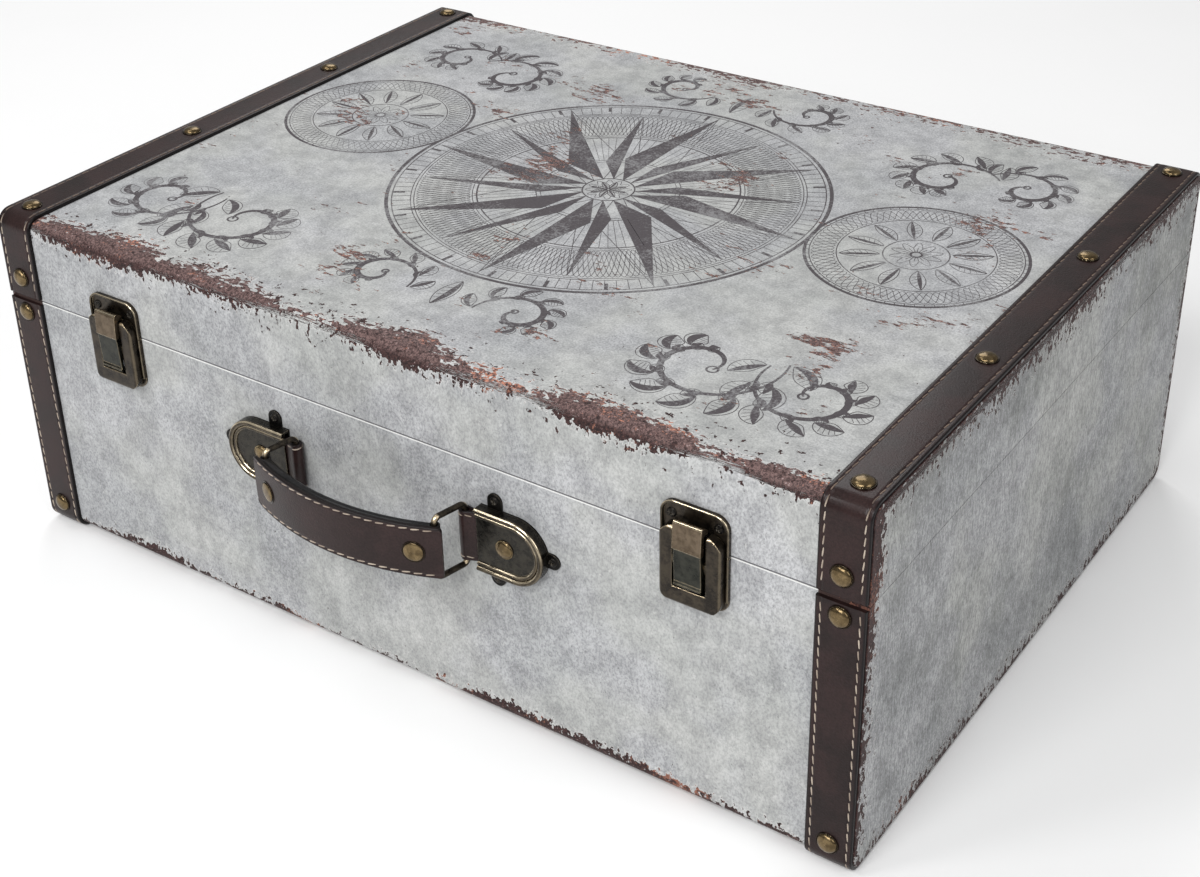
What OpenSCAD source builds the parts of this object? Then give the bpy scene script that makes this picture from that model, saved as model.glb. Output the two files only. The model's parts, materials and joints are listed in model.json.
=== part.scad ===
// Hard suitcase of covered boards with a hinged lid, edge straps, two snap latches
// and a leather carry handle that swings on two wire rings.
//
// Frame: +Z up, X along the width, the handle side faces -Y. The case stands on the
// straps that run under it, at Z = 0. X = 0 is the middle of the width, and Y = 0 is
// the middle between the front of the grip and the back of the hinge barrels.
// Everything is drawn closed, with the handle leaning a little to the left.

/* [Case] */
// Outside width of the covered box
case_w = 440; // [380:1:520]
// Outside depth of the covered box, front face to back face
case_d = 325; // [280:1:380]
// Outside height of the covered box with the lid closed
case_h = 163; // [145:1:190]
// Height of the lid above the seam
lid_h = 39.8; // [34:0.2:56]
// Thickness of the fibreboard panels
wall_t = 5; // [4.6:0.2:7]
// Thickness of the printed covering
wrap_t = 0.5; // [0.3:0.1:0.8]
// Thickness of the paper lining
lining_t = 0.8; // [0.5:0.1:1.2]
// Outside radius of the long front, back, top and bottom edges
edge_r = 5.5; // [3:0.5:6]
// Gap between lid and base at the seam
seam_gap = 0.3; // [0.2:0.05:0.5]

/* [Edge straps] */
// Width of a strap
strap_w = 20; // [16:0.5:26]
// Thickness of a strap
strap_t = 1.8; // [1.4:0.1:2.4]
// Distance of a strap's outer edge from the end of the case
strap_inset = 0.5; // [0:0.1:3]
// Distance of a strap's cut end from the seam
strap_end = 1.4; // [1:0.1:2.5]
// Diameter of a strap rivet's domed head
rivet_d = 9.5; // [8:0.1:11]
// Height of a strap rivet's domed head
rivet_h = 2.2; // [1.6:0.1:2.8]
// Height of the lid's end rivets above the seam
rivet_above = 10.6; // [8:0.1:14]
// Depth of the base's upper rivets below the seam
rivet_below = 6.9; // [6.5:0.1:12]
// Distance of the outermost rivets from the case's edges
rivet_edge = 11; // [10:0.5:20]
// Number of rivets on each strap across the top
top_rivets = 4; // [3:1:6]

/* [Latches] */
// Distance of a latch's middle from the end of the case
latch_in = 70; // [60:1:100]
// Width of the keeper and of the base plate
plate_w = 29; // [28.6:0.1:32]
// Height of the keeper plate above the seam
keeper_h = 16.7; // [15.8:0.1:19]
// Depth of the base plate below the seam
plate_h = 25.7; // [25.6:0.1:28]
// Corner radius of both plates
plate_r = 6; // [3:0.5:7]
// Sheet thickness of both plates
plate_t = 0.8; // [0.6:0.1:0.9]
// Height of the plates' folded rims off the face
rim_h = 1.7; // [1.2:0.1:2.2]
// Width of the cover
cover_w = 26.4; // [25.6:0.1:26.6]
// Corner radius of the cover
cover_corner_r = 6; // [4:0.5:7]
// Height of the cover above the seam
cover_up = 8; // [7:0.1:8.4]
// Distance of the cover's front from the face
cover_out = 5.5; // [5.3:0.1:6]
// Sheet thickness of the cover
cover_t = 0.9; // [0.7:0.1:1]
// Width of the cover's window
window_w = 14.4; // [14:0.1:15.6]
// Width of the tongue
tongue_w = 12.2; // [12:0.1:13]
// Height of the tongue's top above the seam
tongue_up = 11.8; // [11.2:0.1:13]
// Depth of the tongue's lower end below the seam
tongue_down = 16.4; // [15.4:0.1:16.8]

/* [Handle] */
// Depth of the handle's middle below the seam
handle_down = 33.2; // [26:0.1:60]
// Distance of a mount's bar from the middle of the case
mount_x = 44.7; // [40:0.1:60]
// Radius of a mount's round end
mount_r = 14.75; // [14:0.05:17]
// Distance from a ring's bar to the centre of the round end
mount_reach = 23.8; // [22:0.1:27]
// Wire radius of the rings
ring_r = 1.3; // [1:0.05:1.5]
// Distance between the two bars of a ring
ring_l = 15.5; // [14:0.1:20]
// Lean of the rings to the left in this pose, in degrees
ring_lean = 13; // [0:1:25]
// Thickness of the leather at the mounts
loop_t = 1.2; // [0.8:0.1:1.4]
// Width of the leather at the mounts
loop_w = 23.5; // [20:0.5:24]
// Rise of the grip's arc over its chord
grip_rise = 9; // [6:0.5:14]
// Width of the grip's front leather
grip_w = 24; // [21:0.5:25]
// Thickness of the grip's front leather
grip_front_t = 1.5; // [1:0.1:2]
// Thickness of the grip's black core
grip_core_t = 4.8; // [4.4:0.1:6]
// Length of the front leather past each bar
grip_past = 3.7; // [3:0.1:6]
// Distance of a grip rivet from the end of the front leather
grip_rivet_in = 11.5; // [10:0.5:18]
// Diameter of a grip rivet's head
grip_rivet_d = 10; // [8:0.1:11]

/* [Hinges] */
// Distance of a hinge's middle from the end of the case
hinge_in = 110; // [60:1:160]
// Width of a hinge
leaf_w = 26; // [22:0.5:34]
// Height of a leaf
leaf_h = 16; // [14:0.5:20]
// Thickness of a leaf
leaf_t = 0.9; // [0.7:0.1:1.2]
// Outside radius of the barrel
barrel_r = 2.6; // [2.2:0.1:3.2]
// Radius of the hinge pin
hinge_pin_r = 1.2; // [0.9:0.1:1.5]

/* [Hidden] */

$fn = 48;

// Clearances: a seat within one body, a hole round a fixed shank, a turning pin
seat = 0.05;
hole_play = 0.1;
pin_play = 0.05;
// Clearance between parts that swing past each other
swing_play = 0.25;
// How far a cutting tool runs past what it cuts
over = 1;

// Colours
covering_grey = [0.70, 0.71, 0.70];
board_brown = [0.55, 0.42, 0.30];
lining_beige = [0.78, 0.72, 0.60];
strap_brown = [0.20, 0.12, 0.11];
core_black = [0.08, 0.08, 0.08];
bronze = [0.24, 0.21, 0.17];
brass = [0.52, 0.42, 0.24];
spring_steel = [0.60, 0.61, 0.62];

// Fastener shanks and how deep they go into a board
shank_r = 1.5;
screw_r = 1;
bite = wall_t - 1;
screw_head_d = 4;
screw_head_h = 0.8;

// Depth of the handle's front leather surface, the foremost thing, off the face
ring_play = 0.2;
loop_r = ring_r + ring_play + loop_t;
bar_out = loop_r + swing_play;
chord_half = mount_x;
grip_r = (chord_half * chord_half + grip_rise * grip_rise) / (2 * grip_rise);
front_reach = bar_out + ring_l * cos(ring_lean) + grip_rise + grip_core_t / 2 + seat + grip_front_t;

// Hinge axis off the back face, and the rearmost thing
hinge_out = barrel_r + 0.2;
back_reach = max(hinge_out + barrel_r, strap_t + rivet_h);

// Box outline in Y and Z
case_y = (front_reach - back_reach) / 2;
front_y = case_y - case_d / 2;
back_y = case_y + case_d / 2;
floor_z = strap_t;
seam_z = floor_z + case_h - lid_h;
top_z = floor_z + case_h;
round_r = min(edge_r, wall_t + wrap_t);
board_x = case_w / 2 - wrap_t - wall_t;

// Places along the width, from the middle, and the handle's height
latch_x = case_w / 2 - latch_in;
hinge_x = case_w / 2 - hinge_in;
handle_z = seam_z - handle_down;

// Strap and rivet places
strap_x = case_w / 2 - strap_inset - strap_w / 2;
rivet_shank = strap_t + wrap_t + bite;
top_span = case_d - 2 * rivet_edge;
top_ys = [for (i = [0 : top_rivets - 1]) case_y - top_span / 2 + i * top_span / (top_rivets - 1)];
base_rivet_zs = [floor_z + rivet_edge, seam_z - rivet_below];
lid_rivet_z = seam_z + rivet_above;

// Latch: places in Y and Z of the face frame, height over the seam and distance off the face
rim_w = (plate_w - cover_w) / 2 - 0.3;
cover_back = plate_t + 0.4;
cover_in = cover_out - cover_t;
cover_axis_out = 3;
cover_axis_up = 1.9 - plate_h + 0.3;
cover_down = plate_h - 0.3;
cover_pin_r = 0.7;
ear_r = 1.35;
ear_t = 1.2;
pin_foot = cover_down + cover_axis_up - cover_pin_r;
cover_corner_in = cover_corner_r - sqrt(cover_corner_r * cover_corner_r
                                        - pow(cover_corner_r - pin_foot, 2));
cover_pin_half = cover_w / 2 - cover_corner_in - 0.2;
ear_in = cover_pin_half - 2.7;
heel_boss_in = ear_in + ear_t + swing_play;
cover_edge_r = 1.6;
window_down = tongue_down + 1.6;
tongue_axis_up = -6;
tongue_axis_out = 3.5;
tongue_boss_r = 1.8;
tongue_pin_r = 0.8;
tongue_back = 4.9;
cheek_in = tongue_w / 2 + 0.2;
cheek_out = window_w / 2 + 0.8;
lug_w = 9;
lug_up = 8;
lug_out = 4.2;
claw_up = lug_up + 0.35;
claw_in = 2.2;
keeper_screw_x = 10;
keeper_screw_up = keeper_h - 5.9;
plate_screws = [[-cover_w / 2 + 3.4, -5.5], [cover_w / 2 - 3.4, -5.5], [0, -plate_h + 5.2]];

// Handle mount: places along the width from the case's middle and off the face
mount_flat = mount_x + 6.1;
mount_round = mount_x + mount_reach;
mount_plate_t = 0.8;
cap_wall = 1;
strip_out = mount_plate_t + seat;
panel_out = strip_out + 2 * loop_t + seat;
panel_t = 0.7;
bead_r = 1.1;
bead_at = mount_r - bead_r;
bead_out = panel_out + panel_t + 0.3;
inner_bead_r = 0.85;
inner_bead_at = bead_at - 2.2;
ear_w = 7;
ear_up_x = mount_flat + 7.2;
ear_up_y = mount_r + 3.65;
ear_end_x = mount_round + mount_r + 1.95;
mount_rivet_x = mount_round - 4;
mount_rivet_d = 8.6;
mount_rivet_h = 1.4;
strip_end = mount_round + 2;
ring_elbow = 2.6;
ring_half = max(loop_w, grip_w) / 2 + swing_play + ring_r + 0.75;

// Grip angles about the centre of its arc
bar_turn = asin(chord_half / grip_r);
leather_turn = bar_turn + grip_past / grip_r * 180 / PI;
rivet_turn = leather_turn - grip_rivet_in / grip_r * 180 / PI;
core_w = grip_w - 1;

// The rivets' back heads are flat and stand on the core's hollow side
back_head_d = grip_rivet_d - 2;
core_back_r = grip_r - grip_core_t / 2;
back_head_r = sqrt(core_back_r * core_back_r - back_head_d * back_head_d / 4) - 0.01;

// Hinge knuckles
knuckle_mid = leaf_w * 0.38;
leaf_screw_x = leaf_w / 2 - 4.5;
leaf_screw_up = leaf_h - 4.5;

// Helpers

// Carries a Y-Z outline along X between two places
module across(x0, x1) {
    translate([x0, 0, 0])
        rotate([90, 0, 90])
            linear_extrude(height = x1 - x0)
                children();
}

// Rectangle with round corners, between two corners
module rounded(x0, y0, x1, y1, r) {
    translate([x0 + r, y0])
        square([x1 - x0 - 2 * r, y1 - y0]);
    translate([x0, y0 + r])
        square([x1 - x0, y1 - y0 - 2 * r]);
    for (x = [x0 + r, x1 - r])
        for (y = [y0 + r, y1 - r])
            translate([x, y])
                circle(r = r);
}

// Face frames: X stays along the width or mirrors it, Y goes up, Z points off the face
module on_front(x, z) {
    translate([x, front_y, z])
        rotate([90, 0, 0])
            children();
}

module on_back(x, z) {
    translate([x, back_y, z])
        rotate([90, 0, 180])
            children();
}

// Rivet or screw: a domed head that stands on Z = 0, and its shank below
module fastener(d, h, r, len) {
    cap_r = (d * d / 4 + h * h) / (2 * h);
    intersection() {
        translate([0, 0, h - cap_r])
            sphere(r = cap_r);
        cylinder(r = d / 2 + over, h = h + over);
    }
    translate([0, 0, -len])
        cylinder(r = r, h = len + h / 2);
}

// Hole for a shank, from over the face down to its end
module shank_hole(r, len) {
    translate([0, 0, -len - hole_play])
        cylinder(r = r + hole_play, h = len + hole_play + strap_t + over);
}

// Case outline in Y and Z, drawn in by a distance
module case_outline(inset) {
    rounded(front_y + inset, floor_z + inset, back_y - inset, top_z - inset,
            max(round_r - inset, 0.2));
}

// Everything under one height or over another, past the straps on all sides
module below(z) {
    translate([front_y - strap_t - over, -over])
        square([case_d + 2 * (strap_t + over), z + over]);
}

module above(z) {
    translate([front_y - strap_t - over, z])
        square([case_d + 2 * (strap_t + over), top_z + strap_t + over - z]);
}

module base_outline(inset) {
    intersection() {
        case_outline(inset);
        below(seam_z - seam_gap / 2);
    }
}

module lid_outline(inset) {
    intersection() {
        case_outline(inset);
        above(seam_z + seam_gap / 2);
    }
}

// Everything in front of, or behind, the inner face of the front or back board
module front_strip() {
    translate([front_y - over, floor_z - over])
        square([wrap_t + wall_t + over, case_h + 2 * over]);
}

module back_strip() {
    translate([back_y - wrap_t - wall_t, floor_z - over])
        square([wrap_t + wall_t + over, case_h + 2 * over]);
}

// Holes for everything that is driven into the base's front
module base_front_holes() {
    for (x = [-strap_x, strap_x])
        for (z = base_rivet_zs)
            on_front(x, z)
                shank_hole(shank_r, wrap_t + bite);
    for (s = [-1, 1])
        on_front(s * latch_x, seam_z)
            for (p = plate_screws)
                translate(p)
                    shank_hole(screw_r, wrap_t + bite);
    for (s = [0, 1])
        mirror([s, 0, 0])
            on_front(0, handle_z) {
                for (p = mount_screw_places())
                    translate(p)
                        shank_hole(screw_r, wrap_t + bite);
                translate([mount_rivet_x, 0])
                    shank_hole(shank_r, wrap_t + bite);
            }
}

module base_back_holes() {
    for (x = [-strap_x, strap_x])
        for (z = base_rivet_zs)
            on_back(x, z)
                shank_hole(shank_r, wrap_t + bite);
    for (x = [-hinge_x, hinge_x])
        for (dx = [-leaf_screw_x, leaf_screw_x])
            on_back(x + dx, seam_z - leaf_screw_up)
                shank_hole(screw_r, wrap_t + bite);
}

module lid_front_holes() {
    for (x = [-strap_x, strap_x])
        on_front(x, lid_rivet_z)
            shank_hole(shank_r, wrap_t + bite);
    for (s = [-1, 1])
        for (dx = [-keeper_screw_x, keeper_screw_x])
            on_front(s * latch_x + dx, seam_z + keeper_screw_up)
                shank_hole(screw_r, wrap_t + bite);
}

module lid_back_holes() {
    for (x = [-strap_x, strap_x])
        on_back(x, lid_rivet_z)
            shank_hole(shank_r, wrap_t + bite);
    for (x = [-hinge_x, hinge_x])
        for (dx = [-leaf_screw_x, leaf_screw_x])
            on_back(x + dx, seam_z + leaf_screw_up)
                shank_hole(screw_r, wrap_t + bite);
}

module lid_top_holes() {
    for (x = [-strap_x, strap_x])
        for (y = top_ys)
            translate([x, y, top_z])
                shank_hole(shank_r, wrap_t + bite);
}

// Boards of the base

module base_front_board() {
    color(board_brown)
        difference() {
            across(-board_x, board_x)
                intersection() {
                    base_outline(wrap_t);
                    front_strip();
                }
            base_front_holes();
        }
}

module base_back_board() {
    color(board_brown)
        difference() {
            across(-board_x, board_x)
                intersection() {
                    base_outline(wrap_t);
                    back_strip();
                }
            base_back_holes();
        }
}

module base_left_end() {
    color(board_brown)
        across(-board_x - wall_t, -board_x)
            base_outline(wrap_t);
}

module base_right_end() {
    color(board_brown)
        across(board_x, board_x + wall_t)
            base_outline(wrap_t);
}

module base_floor() {
    color(board_brown)
        translate([-board_x, front_y + wrap_t + wall_t, floor_z + wrap_t])
            cube([2 * board_x, case_d - 2 * (wrap_t + wall_t), wall_t]);
}

// Printed covering: a thin tray round the boards, open at the seam
module base_covering() {
    color(covering_grey)
        difference() {
            across(-case_w / 2, case_w / 2)
                base_outline(0);
            across(wrap_t - case_w / 2, case_w / 2 - wrap_t)
                case_outline(wrap_t);
            base_front_holes();
            base_back_holes();
        }
}

// Paper lining: a thin tray inside the boards
module lining_tray(z0, z1, open_up) {
    x = board_x - seat;
    y0 = front_y + wrap_t + wall_t + seat;
    depth = case_d - 2 * (wrap_t + wall_t + seat);
    inner_z = open_up ? z0 + lining_t : z0 - over;
    difference() {
        translate([-x, y0, z0])
            cube([2 * x, depth, z1 - z0]);
        translate([-x + lining_t, y0 + lining_t, inner_z])
            cube([2 * (x - lining_t), depth - 2 * lining_t, z1 - z0 - lining_t + over]);
    }
}

module base_lining() {
    color(lining_beige)
        lining_tray(floor_z + wrap_t + wall_t + seat, seam_z - seam_gap / 2, true);
}

// Boards of the lid

module lid_front_board() {
    color(board_brown)
        difference() {
            across(-board_x, board_x)
                intersection() {
                    lid_outline(wrap_t);
                    front_strip();
                }
            lid_front_holes();
        }
}

module lid_back_board() {
    color(board_brown)
        difference() {
            across(-board_x, board_x)
                intersection() {
                    lid_outline(wrap_t);
                    back_strip();
                }
            lid_back_holes();
        }
}

module lid_left_end() {
    color(board_brown)
        across(-board_x - wall_t, -board_x)
            lid_outline(wrap_t);
}

module lid_right_end() {
    color(board_brown)
        across(board_x, board_x + wall_t)
            lid_outline(wrap_t);
}

module lid_top_board() {
    color(board_brown)
        difference() {
            translate([-board_x, front_y + wrap_t + wall_t, top_z - wrap_t - wall_t])
                cube([2 * board_x, case_d - 2 * (wrap_t + wall_t), wall_t]);
            lid_top_holes();
        }
}

module lid_covering() {
    color(covering_grey)
        difference() {
            across(-case_w / 2, case_w / 2)
                lid_outline(0);
            across(wrap_t - case_w / 2, case_w / 2 - wrap_t)
                case_outline(wrap_t);
            lid_front_holes();
            lid_back_holes();
            lid_top_holes();
        }
}

module lid_lining() {
    color(lining_beige)
        lining_tray(seam_z + seam_gap / 2, top_z - wrap_t - wall_t - seat, false);
}

// Edge straps: each runs round the box in one piece and stops short of the seam

module strap_outline() {
    difference() {
        rounded(front_y - strap_t, floor_z - strap_t, back_y + strap_t, top_z + strap_t,
                round_r + strap_t);
        case_outline(0);
    }
}

module base_strap(x) {
    color(strap_brown)
        difference() {
            across(x - strap_w / 2, x + strap_w / 2)
                intersection() {
                    strap_outline();
                    below(seam_z - strap_end);
                }
            for (z = base_rivet_zs) {
                on_front(x, z)
                    shank_hole(shank_r, over);
                on_back(x, z)
                    shank_hole(shank_r, over);
            }
        }
}

module base_left_strap() {
    base_strap(-strap_x);
}

module base_right_strap() {
    base_strap(strap_x);
}

module lid_strap(x) {
    color(strap_brown)
        difference() {
            across(x - strap_w / 2, x + strap_w / 2)
                intersection() {
                    strap_outline();
                    above(seam_z + strap_end);
                }
            on_front(x, lid_rivet_z)
                shank_hole(shank_r, over);
            on_back(x, lid_rivet_z)
                shank_hole(shank_r, over);
            for (y = top_ys)
                translate([x, y, top_z])
                    shank_hole(shank_r, over);
        }
}

module lid_left_strap() {
    lid_strap(-strap_x);
}

module lid_right_strap() {
    lid_strap(strap_x);
}

// Domed strap rivets, standing on the straps

module strap_rivet() {
    translate([0, 0, strap_t])
        fastener(rivet_d, rivet_h, shank_r, rivet_shank);
}

module base_rivets() {
    color(brass)
        for (x = [-strap_x, strap_x])
            for (z = base_rivet_zs) {
                on_front(x, z)
                    strap_rivet();
                on_back(x, z)
                    strap_rivet();
            }
}

module lid_rivets() {
    color(brass)
        for (x = [-strap_x, strap_x]) {
            on_front(x, lid_rivet_z)
                strap_rivet();
            on_back(x, lid_rivet_z)
                strap_rivet();
            for (y = top_ys)
                translate([x, y, top_z])
                    strap_rivet();
        }
}

// Latches, drawn in the face frame of the seam: X along the width, Y up, Z off the face

// Full plate outline, keeper and base plate together
module latch_outline(inset) {
    rounded(-plate_w / 2 + inset, -plate_h + inset, plate_w / 2 - inset, keeper_h - inset,
            max(plate_r - inset, 0.5));
}

// Keeper: a rimmed plate on the lid with a folded hook in its middle
module keeper() {
    color(bronze)
        difference() {
            union() {
                linear_extrude(height = plate_t)
                    keeper_half(0);
                linear_extrude(height = rim_h)
                    difference() {
                        keeper_half(0);
                        latch_outline(rim_w);
                    }
                across(-lug_w / 2, lug_w / 2)
                    polygon([
                        [lug_up - 3, plate_t / 2], [lug_up - 1.2, lug_out - 0.2],
                        [lug_up - 0.9, lug_out], [lug_up, lug_out], [lug_up, lug_out - 1.2],
                        [lug_up - 1.4, plate_t / 2]
                    ]);
            }
            for (x = [-keeper_screw_x, keeper_screw_x])
                translate([x, keeper_screw_up, 0])
                    cylinder(r = screw_r + hole_play, h = 4 * plate_t, center = true);
        }
}

module keeper_half(inset) {
    intersection() {
        latch_outline(inset);
        translate([-plate_w, seam_gap / 2])
            square([2 * plate_w, keeper_h]);
    }
}

module left_keeper() {
    on_front(-latch_x, seam_z)
        keeper();
}

module right_keeper() {
    on_front(latch_x, seam_z)
        keeper();
}

module keeper_screws() {
    color(bronze)
        for (s = [-1, 1])
            for (dx = [-keeper_screw_x, keeper_screw_x])
                on_front(s * latch_x + dx, seam_z + keeper_screw_up)
                    translate([0, 0, plate_t])
                        fastener(screw_head_d, screw_head_h, screw_r, plate_t + wrap_t + bite);
}

// Base plate: side rims, and two ears at the bottom that carry the cover's pin
module latch_plate() {
    color(bronze)
        difference() {
            union() {
                linear_extrude(height = plate_t)
                    intersection() {
                        latch_outline(0);
                        translate([-plate_w, -plate_h - over])
                            square([2 * plate_w, plate_h + over - seam_gap / 2]);
                    }
                for (s = [-1, 1])
                    translate([s * (plate_w - rim_w) / 2, (plate_r - plate_h - seam_gap / 2) / 2, rim_h / 2])
                        cube([rim_w, plate_h - plate_r - seam_gap / 2, rim_h], center = true);
                for (s = [-1, 1])
                    translate([s * (ear_in + ear_t / 2), 0, 0])
                        across(-ear_t / 2, ear_t / 2) {
                            translate([cover_axis_up, cover_axis_out])
                                circle(r = ear_r);
                            translate([cover_axis_up - ear_r, plate_t / 2])
                                square([2 * ear_r, cover_axis_out - plate_t / 2]);
                        }
            }
            cover_axis_bore();
            for (p = plate_screws)
                translate(p)
                    cylinder(r = screw_r + hole_play, h = 4 * plate_t, center = true);
        }
}

// Bore for the cover's pin through ears and cover
module cover_axis_bore() {
    translate([0, cover_axis_up, cover_axis_out])
        rotate([0, 90, 0])
            cylinder(r = cover_pin_r + pin_play, h = plate_w, center = true);
}

module left_latch_plate() {
    on_front(-latch_x, seam_z)
        latch_plate();
}

module right_latch_plate() {
    on_front(latch_x, seam_z)
        latch_plate();
}

module latch_plate_screws() {
    color(bronze)
        for (s = [-1, 1])
            on_front(s * latch_x, seam_z)
                for (p = plate_screws)
                    translate([p[0], p[1], plate_t])
                        fastener(screw_head_d, screw_head_h, screw_r, plate_t + wrap_t + bite);
}

// Cover body with round front edges: three crossed prisms, drawn in by a sheet
module cover_block(inset) {
    w = cover_w / 2 - inset;
    lo = -cover_down + inset;
    hi = cover_up - inset;
    out = cover_out - inset;
    r = max(cover_edge_r - inset, 0.4);
    intersection() {
        linear_extrude(height = out)
            rounded(-w, lo, w, hi, max(cover_corner_r - inset, 1));
        rotate([90, 0, 0])
            translate([0, 0, -hi - over])
                linear_extrude(height = hi - lo + 2 * over)
                    rounded(-w, -2 * r, w, out, r);
        across(-w - over, w + over)
            rounded(lo, -2 * r, hi, out, r);
    }
}

// Cover: a pressed lever with a window open at the top, hinged at its lower end
module cover() {
    color(bronze)
        difference() {
            union() {
                difference() {
                    cover_block(0);
                    cover_block(cover_t);
                    translate([-plate_w, -plate_h - over, -over])
                        cube([2 * plate_w, plate_h + keeper_h, cover_back + over]);
                    translate([-window_w / 2, -window_down, 0])
                        cube([window_w, window_down + cover_up + over, cover_out + over]);
                    cover_heel_cut();
                    for (s = [-1, 1])
                        translate([s * (ear_in + ear_t / 2), cover_axis_up - 2, cover_in / 2])
                            cube([ear_t + 2 * swing_play, 7, cover_in], center = true);
                }
                for (s = [-1, 1])
                    translate([s * (cheek_in + cheek_out) / 2, 0, 0])
                        across((cheek_in - cheek_out) / 2, (cheek_out - cheek_in) / 2) {
                            translate([tongue_axis_up, tongue_axis_out])
                                circle(r = tongue_boss_r);
                            translate([tongue_axis_up - tongue_boss_r, tongue_axis_out])
                                square([2 * tongue_boss_r, cover_in + cover_t / 2 - tongue_axis_out]);
                        }
                intersection() {
                    cover_block(0);
                    for (s = [-1, 1])
                        translate([s * (heel_boss_in + cover_pin_half) / 2, 0, 0])
                            across((heel_boss_in - cover_pin_half) / 2, (cover_pin_half - heel_boss_in) / 2) {
                                translate([cover_axis_up, cover_axis_out])
                                    circle(r = ear_r);
                                translate([cover_axis_up - ear_r, cover_axis_out])
                                    square([2 * ear_r, cover_in + cover_t / 2 - cover_axis_out]);
                            }
                }
            }
            cover_axis_bore();
            tongue_axis_bore();
        }
}

// Rounds the cover's lower back corner about its pin, so it clears the plate as it swings
module cover_heel_cut() {
    heel_r = cover_down + cover_axis_up;
    difference() {
        translate([-plate_w, cover_axis_up - 2 * heel_r, 0])
            cube([2 * plate_w, 2 * heel_r, cover_axis_out]);
        translate([0, cover_axis_up, cover_axis_out])
            rotate([0, 90, 0])
                cylinder(r = heel_r, h = 3 * plate_w, center = true);
    }
}

module tongue_axis_bore() {
    translate([0, tongue_axis_up, tongue_axis_out])
        rotate([0, 90, 0])
            cylinder(r = tongue_pin_r + pin_play, h = window_w + 10, center = true);
}

module left_cover() {
    on_front(-latch_x, seam_z)
        cover();
}

module right_cover() {
    on_front(latch_x, seam_z)
        cover();
}

module cover_pin() {
    color(brass)
        translate([0, cover_axis_up, cover_axis_out])
            rotate([0, 90, 0])
                cylinder(r = cover_pin_r, h = 2 * cover_pin_half, center = true);
}

module left_cover_pin() {
    on_front(-latch_x, seam_z)
        cover_pin();
}

module right_cover_pin() {
    on_front(latch_x, seam_z)
        cover_pin();
}

// Tongue: a cast lever whose claw hooks over the keeper's lug; its lower end is pressed
// in to let go. The front is a shallow roof with its ridge at the seam.
module tongue() {
    color(bronze)
        difference() {
            union() {
                across(-tongue_w / 2, tongue_w / 2)
                    polygon([
                        [claw_up, claw_in], [claw_up, tongue_back - 0.2], [0, tongue_back],
                        [-0.2, 6.9], [0.4, 7.4], [tongue_up - 1.6, 6.8], [tongue_up - 0.6, 6.5],
                        [tongue_up, 5.7], [tongue_up - 0.2, 5], [claw_up + 1.4, claw_in]
                    ]);
                across(-tongue_w / 2 + 0.3, tongue_w / 2 - 0.3)
                    polygon([
                        [0.2, tongue_back], [1.2 - tongue_down, tongue_back],
                        [-tongue_down, 5.5], [-tongue_down, 6.3], [0.5 - tongue_down, 6.8],
                        [1.2 - tongue_down, 6.8], [2 - tongue_down, 6.25], [0.2, 6.95]
                    ]);
                across(-tongue_w / 2 + 0.3, tongue_w / 2 - 0.3)
                    translate([tongue_axis_up, tongue_axis_out])
                        circle(r = tongue_boss_r);
            }
            tongue_axis_bore();
        }
}

module left_tongue() {
    on_front(-latch_x, seam_z)
        tongue();
}

module right_tongue() {
    on_front(latch_x, seam_z)
        tongue();
}

module tongue_pin() {
    color(brass)
        translate([0, tongue_axis_up, tongue_axis_out])
            rotate([0, 90, 0])
                cylinder(r = tongue_pin_r, h = 2 * cheek_out, center = true);
}

module left_tongue_pin() {
    on_front(-latch_x, seam_z)
        tongue_pin();
}

module right_tongue_pin() {
    on_front(latch_x, seam_z)
        tongue_pin();
}

// Flat spring: its foot lies inside the cover's lower rail and its tip stands behind the tongue
module latch_spring() {
    t = 0.3;
    foot = cover_in - seat;
    low = -window_down - 0.5;
    color(spring_steel)
        across(-3.5, 3.5)
            polygon([
                [low - 4, foot - t], [low - 4, foot], [low, foot], [low + 2.2, 2.2],
                [-9, 3.75], [-9, 3.75 - t], [low + 2, 2.2 - t], [low - 0.2, foot - t]
            ]);
}

module left_latch_spring() {
    on_front(-latch_x, seam_z)
        latch_spring();
}

module right_latch_spring() {
    on_front(latch_x, seam_z)
        latch_spring();
}

// Handle mounts, drawn in the front's face frame at the handle's height, for the right side

function mount_screw_places() = [
    [ear_up_x, ear_up_y], [ear_up_x, -ear_up_y], [ear_end_x, 0]
];

// Runs its children on the right mount and mirrors them to the left one
module right_mount() {
    on_front(0, handle_z)
        children();
}

module left_mount() {
    mirror([1, 0, 0])
        on_front(0, handle_z)
            children();
}

// Letter D lying on its side: flat towards the grip, round away from it
module dee(r) {
    translate([mount_round, 0])
        circle(r = r);
    translate([mount_flat, -r])
        square([mount_round - mount_flat, 2 * r]);
}

// Plate under the cap with three screw ears
module mount_plate() {
    color(bronze)
        linear_extrude(height = mount_plate_t)
            difference() {
                union() {
                    dee(mount_r);
                    for (s = [-1, 1]) {
                        translate([ear_up_x, s * ear_up_y])
                            circle(r = ear_w / 2);
                        translate([ear_up_x - ear_w / 2, s * ear_up_y / 2 - ear_up_y / 2])
                            square([ear_w, ear_up_y]);
                    }
                    translate([ear_end_x, 0])
                        circle(r = ear_w / 2);
                    translate([mount_round, -ear_w / 2])
                        square([ear_end_x - mount_round, ear_w]);
                }
                for (p = mount_screw_places())
                    translate(p)
                        circle(r = screw_r + hole_play);
                translate([mount_rivet_x, 0])
                    circle(r = shank_r + hole_play);
            }
}

module left_mount_plate() {
    left_mount()
        mount_plate();
}

module right_mount_plate() {
    right_mount()
        mount_plate();
}

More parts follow.
